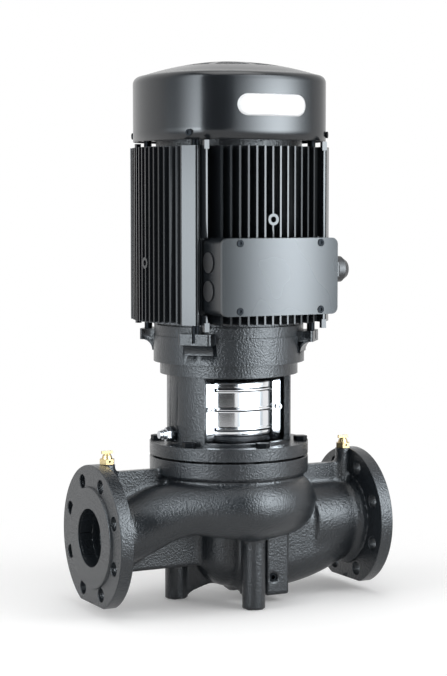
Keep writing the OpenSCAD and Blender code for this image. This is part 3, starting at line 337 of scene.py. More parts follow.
RIB_HALF, LEFT_RIB, RIGHT_RIB = 5.0, (-40.0, 53.0, 194.0), (95.0, 105.0, 185.0)
FOOT_RING, FOOT_R, FOOT_CLEAR, FOOT_TOP = 75.0, 16.0, 0.3, 120.0
FOOT_TURNS = [math.radians(a) for a in (-90, 30, 150)]
WEB_LOW, WEB_HIGH, ARCH_RISE, ARCH_DROP = 5.0, 110.0, 26.0, 20.0
ARCH_REACH = FOOT_RING - FOOT_R
DRAIN_X, DRAIN_Z, DRAIN_HOLE_R, DRAIN_DEEP = 42.0, 36.0, 6.0, 14.0
DRAIN_PAD = (31.0, -DUCT_R - 10, 11.0), (67.0, -30.0, 106.0)
print("the outlet runs", OUTLET_RUN, "mm, the joint lies", JOINT_Z, "mm up")


# %% [markdown]
# ## The water ways
# Water enters on the right, dips under the impeller, rises through its eye, is thrown into the
# scroll and leaves on the left. Each way is a tube along a line, so its distance is the way to
# that line less a radius, and the same function with a wall taken off gives the hollow inside.

# %% The scroll, the outlet and the suction duct


def scroll(p, wall):
    """Spiral tube: its centre runs round a ring, and its radius grows evenly with the angle."""
    gap = 2 * math.pi - (SCROLL_FROM - SCROLL_TO)
    angle = np.arctan2(p[1], p[0])
    angle = np.where(angle < SCROLL_TO - gap / 2, angle + 2 * math.pi, angle)
    angle = np.clip(angle, SCROLL_TO, SCROLL_FROM)
    grown = (SCROLL_FROM - angle) / (SCROLL_FROM - SCROLL_TO)
    radius = SCROLL_START + (SCROLL_END - SCROLL_START) * grown - wall
    off = np.hypot(p[0] - SCROLL_RING * np.cos(angle), p[1] - SCROLL_RING * np.sin(angle))
    return np.hypot(off, p[2] - SCROLL_Z) - radius


def outlet(p, wall):
    """Pipe from the scroll to the flange: a soft step takes its centre across, and a later one
    down. Its radius dips by the square of a sine, and its section leans with the slopes."""
    t = np.clip(-p[0] / OUTLET_RUN, 0, 1)
    drop = np.clip((t - DROP_FROM) / (1 - DROP_FROM), 0, 1)
    y = SCROLL_RING * (t**2 * (3 - 2 * t) - 1)
    z = SCROLL_Z + (PIPE_Z - SCROLL_Z) * drop**2 * (3 - 2 * drop)
    slope_y = SCROLL_RING / OUTLET_RUN * 6 * t * (1 - t)
    slope_z = (SCROLL_Z - PIPE_Z) / OUTLET_RUN / (1 - DROP_FROM) * 6 * drop * (1 - drop)
    radius = SCROLL_END - OUTLET_DIP * np.sin(math.pi * np.clip(t / DIP_SPAN, 0, 1)) ** 2
    off = np.hypot((p[1] - y) / np.sqrt(1 + slope_y**2), (p[2] - z) / np.sqrt(1 + slope_z**2))
    return np.maximum(off - radius + wall, np.maximum(p[0], -OUTLET_RUN - 20 - p[0]))


def suction_duct(p, wall):
    """Flat-sided duct: round below a centre line that dips under the impeller, round above."""
    reach = np.clip(p[0] - DUCT_START, 0, DUCT_CURVE * DUCT_SHARE)
    low = np.minimum(DUCT_Z + DUCT_CURVE - np.sqrt(DUCT_CURVE**2 - reach**2), PIPE_Z)
    steep = np.sqrt(1 - (reach / DUCT_CURVE) ** 2)
    rise = np.maximum(low - p[2], 0) * steep + np.maximum(p[2] - PIPE_Z, 0)
    return np.maximum(np.hypot(p[1], rise) - DUCT_R + wall, -p[0])


def bowl(p, wall):
    """Round bowl under the impeller: a ball below, a cylinder up to the chamber."""
    ball = np.sqrt(p[0] ** 2 + p[1] ** 2 + (p[2] - BOWL_Z) ** 2) - BOWL_R + wall
    return np.minimum(ball, upright(p, 0, 0, BOWL_R - wall, BOWL_Z, BOWL_TOP))


print("the scroll grows from", SCROLL_START, "to", SCROLL_END, "mm")

# %% The whole casting


def outer_form(p):
    """Volute, barrel, rim, ducts, necks and cock bosses, melted together one by one."""
    body = np.minimum(scroll(p, 0), outlet(p, 0))
    body = melt(body, upright(p, 0, 0, BARREL_R, BARREL_LOW, BARREL_HIGH), 10)
    body = melt(body, upright(p, 0, 0, RIM_R - 0.6, RIM_LOW, JOINT_Z - 1), 8)
    lower = melt(suction_duct(p, 0), bowl(p, 0), 10)
    lower = melt(lower, upright(p, 0, 0, COLLAR_R, COLLAR_Z, BOWL_TOP), 12)
    body = melt(body, lower, 4)
    plate = PLATE_BACK + 1
    for low, high in ((-plate, 40 - REACH), (120, plate)):
        body = melt(body, level_tube(p, NECK_R, low, high, PIPE_Z), 10)
    for side in (-1, 1):
        near, far = sorted((side * plate, side * (plate - 2)))
        body = melt(body, level_tube(p, HUB_R, near, far, PIPE_Z), 16)
        boss = upright(p, side * COCK_X, 0, COCK_BOSS_R, PIPE_Z, PIPE_Z + FLANGE_R + 0.5)
        body = melt(body, boss, 5)
    return body


def foot(p, turn):
    """An upright foot and its web to the middle, whose lower edge is a wide arch: it drops with
    the square of the way out."""
    x, y = math.cos(turn), math.sin(turn)
    stem = upright(p, FOOT_RING * x, FOOT_RING * y, FOOT_R, FOOT_CLEAR, FOOT_TOP)
    web = block(p, (-10, -RIB_HALF, WEB_LOW), (FOOT_RING, RIB_HALF, WEB_HIGH), turn)
    out = p[0] * x + p[1] * y
    web = np.maximum(web, ARCH_RISE - ARCH_DROP * (out / ARCH_REACH) ** 2 - p[2])
    return melt(stem, web, 5)


def water_space(p):
    """Inner form: scroll and outlet, impeller chamber, suction way, and the bores."""
    inner = np.minimum(scroll(p, WALL), outlet(p, WALL))
    inner = melt(inner, upright(p, 0, 0, CHAMBER_R, 124, 230), 6)
    water = melt(suction_duct(p, WALL + 1), bowl(p, WALL + 1), 10)
    inner = np.minimum(inner, np.maximum(water, p[0] - REACH + 40))
    inner = np.minimum(inner, level_tube(p, BORE_R, REACH - 90, REACH + 9, PIPE_Z))
    inner = np.minimum(inner, level_tube(p, BORE_R, -REACH - 9, 34 - REACH, PIPE_Z))
    return np.minimum(inner, upright(p, 0, 0, 50, 113, 130))


def casting(p):
    """Outer form with feet, ribs and drain pad, less the drain hole and the water space."""
    plate = PLATE_BACK + 1
    body = outer_form(p)
    for turn in FOOT_TURNS:
        body = melt(body, foot(p, turn), 5)
    end, low, high = LEFT_RIB
    body = melt(body, block(p, (-plate, -RIB_HALF, low), (end, RIB_HALF, high)), 8)
    start, low, high = RIGHT_RIB
    body = melt(body, block(p, (start, -RIB_HALF, low), (plate, RIB_HALF, high)), 8)
    body = melt(body, block(p, *DRAIN_PAD), 5)
    hole = np.hypot(p[0] - DRAIN_X, p[2] - DRAIN_Z) - DRAIN_HOLE_R
    body = np.maximum(body, -np.maximum(hole, np.abs(p[1] + 50) - DRAIN_DEEP))
    body = np.maximum(body, np.abs(p[0]) - plate - 1)
    return np.maximum(body, -water_space(p))


chamber_middle = np.array([[0.0], [0.0], [160.0]])
print("the chamber's middle is", round(float(casting(chamber_middle)[0]), 1), "mm from iron")

# %% Read the surface off the grid


def surface_net(field, low, step):
    """Mesh of a field's zero level: one vertex per crossed cell, at the mean of the crossings
    on the cell's edges, and one four-sided face round each crossed grid edge."""
    inside = field < 0
    cells = tuple(n - 1 for n in field.shape)
    total, count = np.zeros((*cells, 3), np.float32), np.zeros(cells, np.float32)
    crossings = []
    for axis in range(3):
        front = [slice(None)] * 3
        back = [slice(None)] * 3
        front[axis], back[axis] = slice(None, -1), slice(1, None)
        a, b = field[tuple(front)], field[tuple(back)]
        crossed = inside[tuple(front)] != inside[tuple(back)]
        where = np.where(crossed, a / np.where(crossed, a - b, 1), 0)
        crossings.append(crossed)
        others = [k for k in range(3) if k != axis]
        for shift in np.ndindex(2, 2):
            part = [slice(None)] * 3
            for k, s in zip(others, shift):
                part[k] = slice(s, s + cells[k])
            hit = crossed[tuple(part)]
            count += hit
            total[..., axis] += where[tuple(part)] * hit
            for k, s in zip(others, shift):
                total[..., k] += s * hit
    used = count > 0
    number = np.full(cells, -1)
    number[used] = np.arange(used.sum())
    points = low + step * (np.argwhere(used) + total[used] / count[used][:, None])
    faces = []
    for axis, crossed in enumerate(crossings):
        i, j = [k for k in range(3) if k != axis]
        if axis == 1:
            i, j = j, i
        core = [slice(None)] * 3
        core[i], core[j] = slice(1, -1), slice(1, -1)
        at = np.argwhere(crossed[tuple(core)])
        at[:, i] += 1
        at[:, j] += 1
        ring = []
        for di, dj in ((-1, -1), (0, -1), (0, 0), (-1, 0)):
            cell = at.copy()
            cell[:, i] += di
            cell[:, j] += dj
            ring.append(number[tuple(cell.T)])
        quad = np.stack(ring, 1)
        outward = inside[tuple(at.T)]
        faces.append(np.where(outward[:, None], quad, quad[:, ::-1]))
    return points, np.concatenate(faces)


tests = np.stack(np.meshgrid(*[np.arange(-3.0, 4.0)] * 3, indexing="ij"))
ball_points, ball_faces = surface_net(np.sqrt((tests**2).sum(0)) - 2.2, -3.0, 1.0)
print("a test ball has", len(ball_points), "points and", len(ball_faces), "faces")

# %% [markdown]
# ## Flanges, turned and drilled
# A flange is a flat plate with a bore, a ring of bolt holes and, here, a flat at its foot. Its
# face is laid out in sectors, one per hole. In each sector a grid runs from the hole's circle
# out to the sector's border, so the holes are round and no boolean is needed. The plate's
# thickness is then carried along X, and a bevel takes off the sharp edges.

# %% Quads of a grid, and a plate from its plan


def grid_quads(rows, cols, ring_rows=False, ring_cols=False):
    """Four points per cell of a grid: here, next in the row, next in both, next in the column.
    Rows or columns that form a ring close on their first."""
    rows_used = np.arange(rows if ring_rows else rows - 1)
    cols_used = np.arange(cols if ring_cols else cols - 1)
    i, j = np.meshgrid(rows_used, cols_used, indexing="ij")
    k, m = (i + 1) % rows, (j + 1) % cols
    return np.stack([i * cols + j, i * cols + m, k * cols + m, k * cols + j], -1)


def plate_from_plan(plan, quads, low, high):
    """Solid plate: the plan at two depths, and a wall along each edge that one face alone uses."""
    flat, back = np.unique(np.round(plan, 6), axis=0, return_inverse=True)
    quads = back.reshape(-1)[quads]
    n = len(flat)
    front = np.column_stack([np.full(n, high), flat])
    rear = np.column_stack([np.full(n, low), flat])
    edges = np.concatenate([quads[:, [k, (k + 1) % 4]] for k in range(4)])
    edges = edges[edges[:, 0] != edges[:, 1]]
    key = np.sort(edges, 1)
    _, first, count = np.unique(key, axis=0, return_index=True, return_counts=True)
    rim = edges[first[count == 1]]
    walls = np.column_stack([rim[:, 1], rim[:, 0], rim[:, 0] + n, rim[:, 1] + n])
    return np.concatenate([front, rear]), np.concatenate([quads, quads[:, ::-1] + n, walls])


HOLE_R, HOLE_CIRCLE, HOLE_COUNT = 9.5, 80.0, 8
ROUND_STEPS, OUT_STEPS, BORDER_STEPS = 48, 3, 200


def polar(reach, angle):
    """Points at a reach from the middle, by angle."""
    return np.column_stack([reach * np.cos(angle), reach * np.sin(angle)])


def flange_edge(angle):
    """Reach of the round edge, or of the flat at the foot where that is nearer."""
    return np.minimum(FLANGE_R, FLAT / np.maximum(-np.sin(angle), 0.01))


def flange_sector(middle, sector):
    """Grid of points from a hole's circle to its sector's border: the share of the way out runs
    evenly, and each ray meets the border at its own bearing from the hole's middle."""
    across = middle + sector * np.linspace(-0.5, 0.5, BORDER_STEPS)
    along = np.linspace(0, 1, BORDER_STEPS)
    first, last = (BORE_R + (flange_edge(across[end]) - BORE_R) * along for end in (0, -1))
    border = np.concatenate([
        polar(flange_edge(across), across),
        polar(last, across[-1])[::-1],
        polar(BORE_R, across)[::-1],
        polar(first, across[0]),
    ])
    centre = polar(HOLE_CIRCLE, middle)[0]
    bearing = np.arctan2(*(border - centre).T[::-1]) - middle
    bearing = (bearing + math.pi) % (2 * math.pi) - math.pi
    order = np.argsort(bearing)
    corners = bearing[[0, *(BORDER_STEPS * np.arange(1, 4) - 1)]]
    even = np.linspace(-math.pi, math.pi, ROUND_STEPS, endpoint=False)
    rays = np.unique(np.round(np.concatenate([even, corners]), 5))
    turn = 2 * math.pi
    reached = [np.interp(rays, bearing[order], side[order], period=turn) for side in border.T]
    circle = centre + polar(HOLE_R, rays + middle)
    share = np.linspace(0, 1, OUT_STEPS + 1)[None, :, None]
    return circle[:, None] * (1 - share) + np.column_stack(reached)[:, None] * share


def flange_plan():
    """Plan of one flange about its own axis: its hole sectors, as points and quads."""
    sector = 2 * math.pi / HOLE_COUNT
    points, quads, start = [], [], 0
    for k in range(HOLE_COUNT):
        grid = flange_sector((k + 0.5) * sector, sector)
        rows, cols = grid.shape[:2]
        quads.append(start + grid_quads(rows, cols, ring_rows=True).reshape(-1, 4))
        points.append(grid.reshape(-1, 2))
        start += rows * cols
    return np.concatenate(points), np.concatenate(quads)


plan, plan_quads = flange_plan()
print("flange plan:", len(plan), "points", len(plan_quads), "quads")

# %% Put a surface into the scene


def piece(name, points, faces, stands_for, finish, smooth_under=40.0):
    """Makes a mesh from points in metres, smooths it by angle, and rides it on its node's body."""
    mesh = bpy.data.meshes.new(name)
    mesh.from_pydata(points.tolist(), [], faces.tolist())
    mesh.validate()
    mesh.shade_smooth()
    mesh.set_sharp_from_angle(angle=math.radians(smooth_under))
    made = bpy.data.objects.new(name, mesh)
    bpy.context.scene.collection.objects.link(made)
    mesh.materials.append(finishes[finish])
    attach(made, nodes[stands_for]["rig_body"] if stands_for else "body")
    if stands_for:
        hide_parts(stands_for)
    return made


def bevel(made, width, segments=2, angle=35.0):
    """Rounds the edges that are sharper than an angle, by a width in millimetres."""
    step = made.modifiers.new("edge", "BEVEL")
    step.width, step.segments = width * MM, segments
    step.limit_method, step.angle_limit = "ANGLE", math.radians(angle)
    step.harden_normals = True


def thickened(made, thickness):
    """Gives a sheet its wall, inwards from the skin that was worked out."""
    step = made.modifiers.new("wall", "SOLIDIFY")
    step.thickness, step.offset = thickness * MM, -1


def merged(mesh, distance, flat_under=None):
    """Joins the points of a mesh that lie on each other, and faces that lie in one plane."""
    work = bmesh.new()
    work.from_mesh(mesh)
    bmesh.ops.remove_doubles(work, verts=work.verts, dist=distance)
    if flat_under:
        limit = math.radians(flat_under)
        bmesh.ops.dissolve_limit(work, angle_limit=limit, verts=work.verts, edges=work.edges)
    work.to_mesh(mesh)
    work.free()


print("helpers for pieces ready")

# %% Read the casting's surface and settle it
GRID, REAR, FRONT, PROBE = 3.0, 120.0, -132.0, 0.5


def settled(points, distance):
    """Moves points onto the zero level, twice: back along the gradient, by the distance over
    the gradient's square, and by no more than 1."""
    for _ in range(2):
        p = points.T
        probes = PROBE * np.eye(3)[:, :, None]
        slope = np.stack([distance(p + a) - distance(p - a) for a in probes]) / (2 * PROBE)
        step = distance(p) / ((slope**2).sum(0) + 1e-6)
        points = points - (np.clip(step, -1, 1) * slope).T
    return points


low = np.array([-REACH, FRONT, -3.0 * GRID])
high = np.array([REACH, REAR, JOINT_Z + 2 * GRID])
axes = [np.arange(a, b, GRID) for a, b in zip(low, high)]
field = casting(np.stack(np.meshgrid(*axes, indexing="ij")).astype(np.float32))
points, faces = surface_net(field, low, GRID)
points = settled(points, casting) * MM
piece("casing_casting", points, faces, "pump_casing", "cast_paint", smooth_under=70)
print("casting:", len(points), "points", len(faces), "faces")

# %% Two flange plates, their raised faces, and the joint rim


def lathe(profile, steps=128):
    """Closed profile of (radius, x) points turned about X: circles of each radius at each x."""
    turn = np.linspace(0, 2 * math.pi, steps, endpoint=False)
    r, x = np.array(profile, float).T
    y, z = r * np.cos(turn)[:, None], r * np.sin(turn)[:, None]
    grid = np.stack(np.broadcast_arrays(x[None], y, z), -1)
    return grid.reshape(-1, 3), grid_quads(steps, len(r), True, True).reshape(-1, 4)


def set_on_port(points, side):
    """Turns points about the pipe axis to face a side, and lifts them to the pipe's height."""
    return (points * (side, side, 1) + (0, 0, PIPE_Z)) * MM


PLATE_FACE = REACH - RAISED_T
raised_profile = [
    (BORE_R, PLATE_FACE - 1), (BORE_R, REACH), (RAISED_R - 1.5, REACH),
    (RAISED_R, PLATE_FACE), (RAISED_R, PLATE_FACE - 1),
]
shapes = {
    "flange": (*plate_from_plan(plan, plan_quads, PLATE_BACK, PLATE_FACE), 1.2),
    "face": (*lathe(raised_profile), 0.8),
}
for side, port in ((1, "suction"), (-1, "discharge")):
    for kind, (points, faces, width) in shapes.items():
        points = set_on_port(points, side)
        bevel(piece(f"{port}_{kind}", points, faces, "pump_casing", "cast_paint"), width)

rim_low = JOINT_Z - RIM_T
rim_inside = [(CHAMBER_R, rim_low), (CHAMBER_R, JOINT_Z)]
points, faces = lathe([*rim_inside, (RIM_R, JOINT_Z), (RIM_R, rim_low)])
points = np.column_stack([-points[:, 2], points[:, 1], points[:, 0]]) * MM
bevel(piece("casing_rim", points, faces, "pump_casing", "cast_paint"), 1.2)
print("flanges, faces and rim ready")

# %% [markdown]
# ## The fan cover
# A pressed and drawn cover is one sheet: four slightly bulged sides, round corners, a rounded
# shoulder and a low crown with ring slots. It is worked out as a grid over the angle and the
# way up, the slots' cells are left out, and Solidify gives the sheet its thickness.

# %% Fan cover
COVER_LOW, COVER_EDGE, CROWN, SHOULDER = 646.0, 737.0, 19.6, 11.0
CORNER_REACH, FACE_CURVE, FACE_REACH, CORNER_MELT, SHEET = 137.0, 200.0, 128.0, 5.0, 2.5
SLOT_INNER, SLOT_PITCH, SLOT_WIDTH, SLOTS = 28.0, 11.0, 6.0, 5
SPOKES, SPOKE_HALF = 8, math.radians(4)
OUTER_RINGS, INNER_RINGS = (115, 104, 94, 86), (20, 10, 0.0)


def cover_reach(angle):
    """Distance of the cover's side from the shaft: the melted least of face arc and corner arc."""
    turned = (angle + math.pi / 4) % (math.pi / 2) - math.pi / 4
    off = FACE_CURVE - FACE_REACH
    face = np.sqrt(FACE_CURVE**2 - (off * np.sin(turned)) ** 2) - off * np.cos(turned)
    return melt(face, np.full_like(face, CORNER_REACH), CORNER_MELT)


def cover_grid():
    """Points of the cover by way up and angle, and which cells are slots.

    The side goes straight up, the shoulder is a quarter circle inwards, and the crown rises
    with one less the square of the share of the radius. A slot is a ring between spokes."""
    angle = np.radians(np.arange(0, 360, 1.0))
    reach = cover_reach(angle)
    level = np.ones_like(reach)
    top = COVER_EDGE - SHOULDER
    rows = [(reach, level * z) for z in np.linspace(COVER_LOW, top, 6)[:-1]]
    for t in np.radians(np.linspace(0, 90, 13)):
        inward = SHOULDER * (1 - math.cos(t))
        rows.append((reach - inward, level * (COVER_EDGE - SHOULDER * (1 - math.sin(t)))))
    slot_edges = [SLOT_INNER + SLOT_PITCH * k + w for k in range(SLOTS) for w in (0, SLOT_WIDTH)]
    radii = [*OUTER_RINGS, *slot_edges[::-1], *INNER_RINGS]
    rim = reach - SHOULDER
    for r in radii:
        share = r / rim.max()
        rows.append((rim * r / rim.max(), level * (COVER_EDGE + CROWN * (1 - share**2))))
    grid = np.array([[r * np.cos(angle), r * np.sin(angle), z] for r, z in rows])
    pitch = 2 * math.pi / SPOKES
    middle_of_cell = angle + math.radians(0.5)
    from_spoke = np.abs((middle_of_cell + pitch / 2) % pitch - pitch / 2)
    slot = np.zeros((len(rows) - 1, len(angle)), bool)
    first = len(rows) - len(radii) + len(OUTER_RINGS)
    slot[first : first + 2 * SLOTS : 2] = from_spoke > SPOKE_HALF
    return grid.transpose(0, 2, 1), slot


grid, slot = cover_grid()
rows, cols = grid.shape[:2]
quads = grid_quads(rows, cols, ring_cols=True)[~slot]
used = np.unique(quads)
fresh = np.zeros(rows * cols, int)
fresh[used] = np.arange(len(used))
points = grid.reshape(-1, 3)[used] * MM
cover = piece("fan_cover_sheet", points, fresh[quads], "fan_cover", "aluminium_paint")
merged(cover.data, 1e-6)
thickened(cover, SHEET)
print("fan cover:", len(cover.data.polygons), "faces")

# %% [markdown]
# ## The coupling guards
# Each guard is one polished sheet: two flat tabs, a round middle and three raised beads that
# stiffen it. A mirror shows every fault of its normals, so the sheet is worked out as a fine
# grid: over the way across, and up, with each bead a raised cosine.

# %% Guards
GUARD_R, GUARD_HALF, GUARD_TAB, GUARD_T = 64.0, 46.0, 16.0, 1.5
GUARD_ACROSS, TAB_STEPS, END_FADE = 65, 4, 12
BEADS, BEAD_HALF, BEAD_RISE, BEAD_SHARE, BEAD_ROWS, BEAD_MARGIN = 3, 3.4, 1.6, 3.3, 17, 1.3


def guard_grid(low, high):
    """The outer skin: x and y by the way across, z by the way up; a bead adds to the radius
    half its rise times one plus the cosine of the way from its middle."""
    order = np.arange(BEADS) - (BEADS - 1) / 2
    bead_z = (low + high) / 2 + order * (high - low) / BEAD_SHARE
    steps = np.linspace(-BEAD_HALF, BEAD_HALF, BEAD_ROWS) * BEAD_MARGIN
    near_beads = (bead_z[:, None] + steps).ravel()
    z = np.sort(np.concatenate([[low, high], near_beads, (bead_z[:-1] + bead_z[1:]) / 2]))
    near = np.abs(z[:, None] - bead_z).min(1)
    bead = np.where(near < BEAD_HALF, (1 + np.cos(math.pi * near / BEAD_HALF)) / 2, 0)
    way = np.linspace(-1, 1, GUARD_ACROSS)
    turn = way * math.asin(GUARD_HALF / GUARD_R)
    fade = np.clip((1 - np.abs(way)) * END_FADE, 0, 1)
    r = GUARD_R + GUARD_T / 2 + (bead * BEAD_RISE)[:, None] * fade
    flat = math.sqrt(GUARD_R**2 - GUARD_HALF**2) + GUARD_T / 2
    tab = np.tile(np.linspace(0, GUARD_TAB, TAB_STEPS)[1:], (len(z), 1))
    x, y = r * np.sin(turn), -r * np.cos(turn)
    edge = x[:, -1:]
    x = np.hstack([-(edge + tab)[:, ::-1], x, edge + tab])
    y = np.hstack([np.full_like(tab, -flat), y, np.full_like(tab, -flat)])
    return np.stack([x, y, np.repeat(z[:, None], x.shape[1], 1)], -1)


for name, way in (("guard_front", 1), ("guard_back", -1)):
    low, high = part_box(name)
    grid = guard_grid(low[2] / MM, high[2] / MM) * (way, way, 1) * MM
    quads = grid_quads(*grid.shape[:2]).reshape(-1, 4)
    sheet_name = name + "_sheet"
    sheet = piece(sheet_name, grid.reshape(-1, 3), quads, name, "stainless", smooth_under=30)
    thickened(sheet, GUARD_T)
    print(sheet_name, len(quads), "faces")

# %% [markdown]
# ## Softened edges
# Cast, turned and pressed metal never ends in a knife edge, and it is the thin line of light
# along an edge that tells the eye so. Copies of the solids have their triangles merged into
# whole faces, and a small bevel gives each its line.

# %% Bevelled copies of the solids
SHARP_ANGLE = 35.0


def softened(name, width):
    """A copy of a CAD node with whole faces and bevelled edges, in its place."""
    mesh = nodes[name].data.copy()
    mesh.name = name + "_soft"
    merged(mesh, 2e-6, flat_under=0.5)
    mesh.shade_smooth()
    mesh.set_sharp_from_angle(angle=math.radians(SHARP_ANGLE))
    copy = bpy.data.objects.new(name + "_soft", mesh)
    bpy.context.scene.collection.objects.link(copy)
    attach(copy, nodes[name]["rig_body"])
    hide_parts(name)
    bevel(copy, width, angle=SHARP_ANGLE)


EDGE_WIDTHS = {
    "lantern_bracket": 1.5, "drive_end_shield": 1.0, "top_end_shield": 1.0, "motor_frame": 0.4,
    "terminal_box": 1.0, "joint_bolts": 0.5, "suction_cock": 0.4,
    "discharge_cock": 0.4, "suction_key": 0.5, "discharge_key": 0.5, "vent_body": 0.4,
    "vent_screw": 0.4, "gland_body": 0.6, "gland_nut": 0.6, "tie_nuts": 0.5, "entry_plugs": 0.6,
    "lid_screws": 0.4, "cover_screws": 0.4, "drain_plug": 0.4,
}
for name, width in EDGE_WIDTHS.items():
    softened(name, width)
print("softened", len(EDGE_WIDTHS), "nodes")

# %% [markdown]
# ## The blank plate
# A pale plate with round ends is stuck on the front of the fan cover. It stays blank. Its grid
# follows the cover's bulge, so it lies on the sheet all over.

# %% Plate on the cover
PLATE_HALF, PLATE_R, PLATE_X, PLATE_Z, PLATE_PROUD = 37.5, 14.5, 1.5, 692.0, 0.5
END_STEPS, SIDE_STEPS, RING_STEPS = 25, 14, 5


def stadium():
    """Rings from the middle line out to the edge: along one side, round one end, and back."""
    bend = np.radians(np.linspace(-90, 90, END_STEPS))
    run = np.linspace(-PLATE_HALF, PLATE_HALF, SIDE_STEPS + 2)[1:-1]
    end, side = np.ones(END_STEPS), np.ones(SIDE_STEPS)
    middle = np.concatenate([PLATE_HALF * end, run[::-1], -PLATE_HALF * end, run])
    facing = np.concatenate([bend, side * math.pi / 2, bend + math.pi, -side * math.pi / 2])
    out = PLATE_R * np.linspace(0, 1, RING_STEPS)[:, None]
    return PLATE_X + middle + out * np.cos(facing), out * np.sin(facing)


x, z = stadium()
y = FACE_CURVE - FACE_REACH - np.sqrt(FACE_CURVE**2 - x**2) - PLATE_PROUD
quads = grid_quads(*x.shape, ring_cols=True).reshape(-1, 4)[:, [0, 3, 2, 1]]
points = np.stack([x, y, z + PLATE_Z], -1).reshape(-1, 3) * MM
plate = piece("blank_plate", points, quads, None, "plate_white")
merged(plate.data, 1e-6)
thickened(plate, PLATE_PROUD)
print("plate:", len(plate.data.polygons), "faces")

# %% [markdown]
# ## The studio
# The photograph has a white ground, so the world shows white to the camera, and white behind
# the pump and dim before it to reflections. The light that falls on the pump is set apart and
# plain. A floor keeps the shadow. As in a product studio, a tall dark card stands by the camera:
# it gives the black paint and the polished guard the dark band that shows their roundness. A
# glowing card on each side gives the long soft lights of the castings and the cover.

# %% World: white to the camera, dark in front of the pump for reflections
CAMERA_TURN = math.radians(27.5)
CAMERA_AWAY = 2.609
CAMERA_HEIGHT = 0.5647
LIGHT_LEVEL = 0.55
WHITE, DIM = (1.0, 1.0, 1.0), (0.08, 0.09, 0.10)
CAMERA_RAY, GLOSSY_RAY, TRANSMISSION_RAY = 0, 3, 6
world = bpy.data.worlds.new("studio")
bpy.context.scene.world = world
world.use_nodes = True
sky = Bench(world.node_tree)


def background(colour, strength):
    """A plain light of a colour, from all round."""
    return sky.node("Background", Color=colour, Strength=strength)


toward = (-math.sin(CAMERA_TURN), -math.cos(CAMERA_TURN), 0.0)
dot = {"operation": "DOT_PRODUCT"}
facing = sky.node("VectorMath", output=1, settings=dot, _0=sky.node("TexCoord"), _1=toward)
room = sky.between(sky.smooth(facing, -0.35, 0.25), WHITE, DIM)
seen, through, glossy = (
    sky.node("LightPath", output=ray) for ray in (CAMERA_RAY, TRANSMISSION_RAY, GLOSSY_RAY)
)
direct = seen.combine("ADD", seen, through, clamp=True)
light, ground = background((*WHITE, 1), LIGHT_LEVEL), background((*WHITE, 1), 1.0)
shown = sky.node("MixShader", _0=glossy, _1=light, _2=background(room, 1.0))
shown = sky.node("MixShader", _0=direct, _1=shown, _2=ground)
world_end = world.node_tree.nodes["World Output"]
world.node_tree.links.new(shown.socket, world_end.inputs["Surface"])
print("world nodes:", len(world.node_tree.nodes))

# %% Floor


def stage_sheet(name, corners, material):
    """A flat four-cornered sheet that isn't part of the pump."""
    mesh = bpy.data.meshes.new(name)
    mesh.from_pydata(corners, [], [(0, 1, 2, 3)])
    sheet = bpy.data.objects.new(name, mesh)
    bpy.context.scene.collection.objects.link(sheet)
    mesh.materials.append(material)
    return sheet


FLOOR_REACH, SHADE_FROM, SHADE_TO = 6.0, 0.30, 0.75
floor_paint = Finish("floor_paint")
length = {"operation": "LENGTH"}
away = floor_paint.node("VectorMath", output=1, settings=length, _0=floor_paint.place())
far = floor_paint.smooth(away, SHADE_FROM, SHADE_TO)
floor_paint.set(
    Base_Color=floor_paint.between(far, (0.90, 0.90, 0.90), (0.0, 0.0, 0.0)),
    Emission_Color=floor_paint.between(far, (0.16, 0.16, 0.16), WHITE),
    Emission_Strength=1.0,
    Roughness=1.0,
    Specular_IOR_Level=0.0,
)
plan_corners = ((-1, -1), (1, -1), (1, 1), (-1, 1))
floor_corners = [(x * FLOOR_REACH, y * FLOOR_REACH, 0) for x, y in plan_corners]
stage_sheet("floor", floor_corners, floor_paint.material)
print("floor:", 2 * FLOOR_REACH, "m wide")

# %% Cards and lamps
CARD_TINT = (0.90, 0.98, 1.04)
PUMP_MIDDLE = Vector((0.0, 0.0, 0.38))


def beside_camera(side, away, height):
    """A point to the side of the line from the pump to the camera, at a distance and height."""
    right = Vector((math.cos(CAMERA_TURN), -math.sin(CAMERA_TURN), 0))
    return Vector(toward) * away + right * side + Vector((0, 0, height))


def soft_step(made, way, start, end, least):
    """1 at the start of a way and least at its end, or the other way about if it starts higher."""
    rise = made.smooth(way, min(start, end), max(start, end))
    return rise * (1 - least) + least if start < end else rise * (least - 1) + 1


def card(name, turn, away, half, high, glow, across=(), up=()):
    """An upright card, turned round the pump from the camera's line, that only reflections see.

    Its glow is a base times soft steps: across it, from -1 to 1, and up it, in metres."""
    made = Finish(name + "_card")
    angle = math.radians(turn)
    middle = beside_camera(away * math.sin(angle), away * math.cos(angle), 0)
    along = beside_camera(math.cos(angle), -math.sin(angle), 0)
    place = made.place()
    beside = made.node("VectorMath", output=1, settings=dot, _0=place, _1=along) * (1 / half)
    above = made.node("SeparateXYZ", output=2, Vector=place)
    steps = [(beside, *step) for step in across] + [(above, *step) for step in up]
    tint = (*CARD_TINT, 1)
    if steps:
        first, *others = [soft_step(made, *step) for step in steps]
        tint = made.between(math.prod(others, start=first), (0, 0, 0), CARD_TINT)
    made.set(Base_Color=(0, 0, 0, 1), Emission_Color=tint, Emission_Strength=glow, Roughness=1.0)
    ends = (middle - along * half, middle + along * half)
    lift = Vector((0, 0, high))
    corners = [*ends, ends[1] + lift, ends[0] + lift]
    sheet = stage_sheet(name, corners, made.material)
    sheet.visible_camera = sheet.visible_diffuse = False
    sheet.visible_shadow = sheet.visible_transmission = False


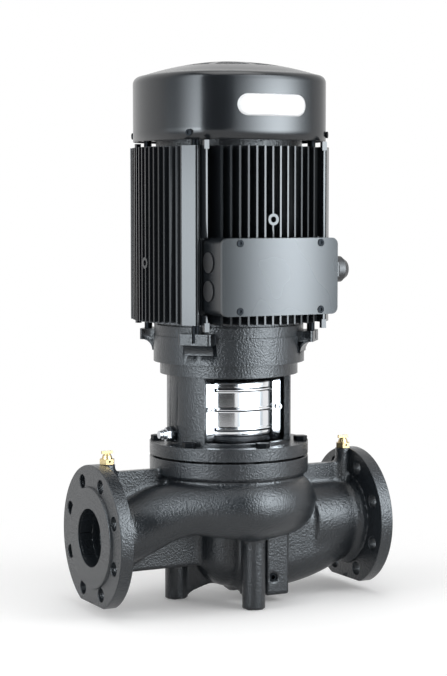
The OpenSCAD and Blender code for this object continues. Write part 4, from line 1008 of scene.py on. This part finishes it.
card("dark", -7.5, 2.0, 0.82, 2.6, 0.0)
left_across, left_up = [(-0.5, 1.0, 0.12)], [(0.22, 0.36, 0.4), (0.72, 0.62, 0.45)]
card("left_glow", -60, 1.0, 0.62, 1.8, 15.0, left_across, left_up)
right_across = [(-1.0, 0.05, 0.12), (0.8, 0.0, 0.1)]
right_up = [(-0.1, 0.5, 0.15), (0.95, 0.72, 0.5)]
card("right_glow", 57, 1.0, 0.70, 1.8, 16.0, right_across, right_up)


def soft_lamp(name, place, size, power):
    """A square area lamp at a place, facing the pump's middle."""
    light = bpy.data.lights.new(name, "AREA")
    light.shape, light.size, light.energy = "SQUARE", size, power
    lamp = bpy.data.objects.new(name, light)
    lamp.location = place
    lamp.rotation_euler = (PUMP_MIDDLE - Vector(place)).to_track_quat("-Z", "Y").to_euler()
    bpy.context.scene.collection.objects.link(lamp)


soft_lamp("left_lamp", beside_camera(-1.9, 1.1, 1.6), 1.2, 18)
soft_lamp("right_lamp", beside_camera(1.9, 0.9, 1.5), 1.2, 14)
soft_lamp("top_lamp", (0.0, -0.4, 2.4), 1.4, 16)
print("cards and lamps ready")

# %% [markdown]
# ## The camera
# It stands a little above the pump's middle and looks slightly down, turned to the left of the
# terminal box. The view is long, so the flanges hardly taper.

# %% Camera
PICTURE_W, PICTURE_H = 447, 676
SENSOR = 36.0
FOCAL_PIXELS = 1857.0
MIDDLE_X, MIDDLE_Y = 228.8, 360.5
LOOK_DOWN = math.radians(4.92)
camera_data = bpy.data.cameras.new("camera")
camera = bpy.data.objects.new("camera", camera_data)
bpy.context.scene.collection.objects.link(camera)
bpy.context.scene.camera = camera
camera_data.sensor_width = SENSOR
camera_data.lens = FOCAL_PIXELS / PICTURE_H * SENSOR
camera_data.shift_x = (PICTURE_W / 2 - MIDDLE_X) / PICTURE_H
camera_data.shift_y = (MIDDLE_Y - PICTURE_H / 2) / PICTURE_H
camera.location = beside_camera(0, CAMERA_AWAY, CAMERA_HEIGHT)
camera.rotation_euler = (math.pi / 2 - LOOK_DOWN, 0, -CAMERA_TURN)
bpy.context.scene.view_settings.view_transform = "Standard"
print("lens", round(camera_data.lens, 1), "mm")

# %% Bring the scene up to date
bpy.context.view_layer.update()
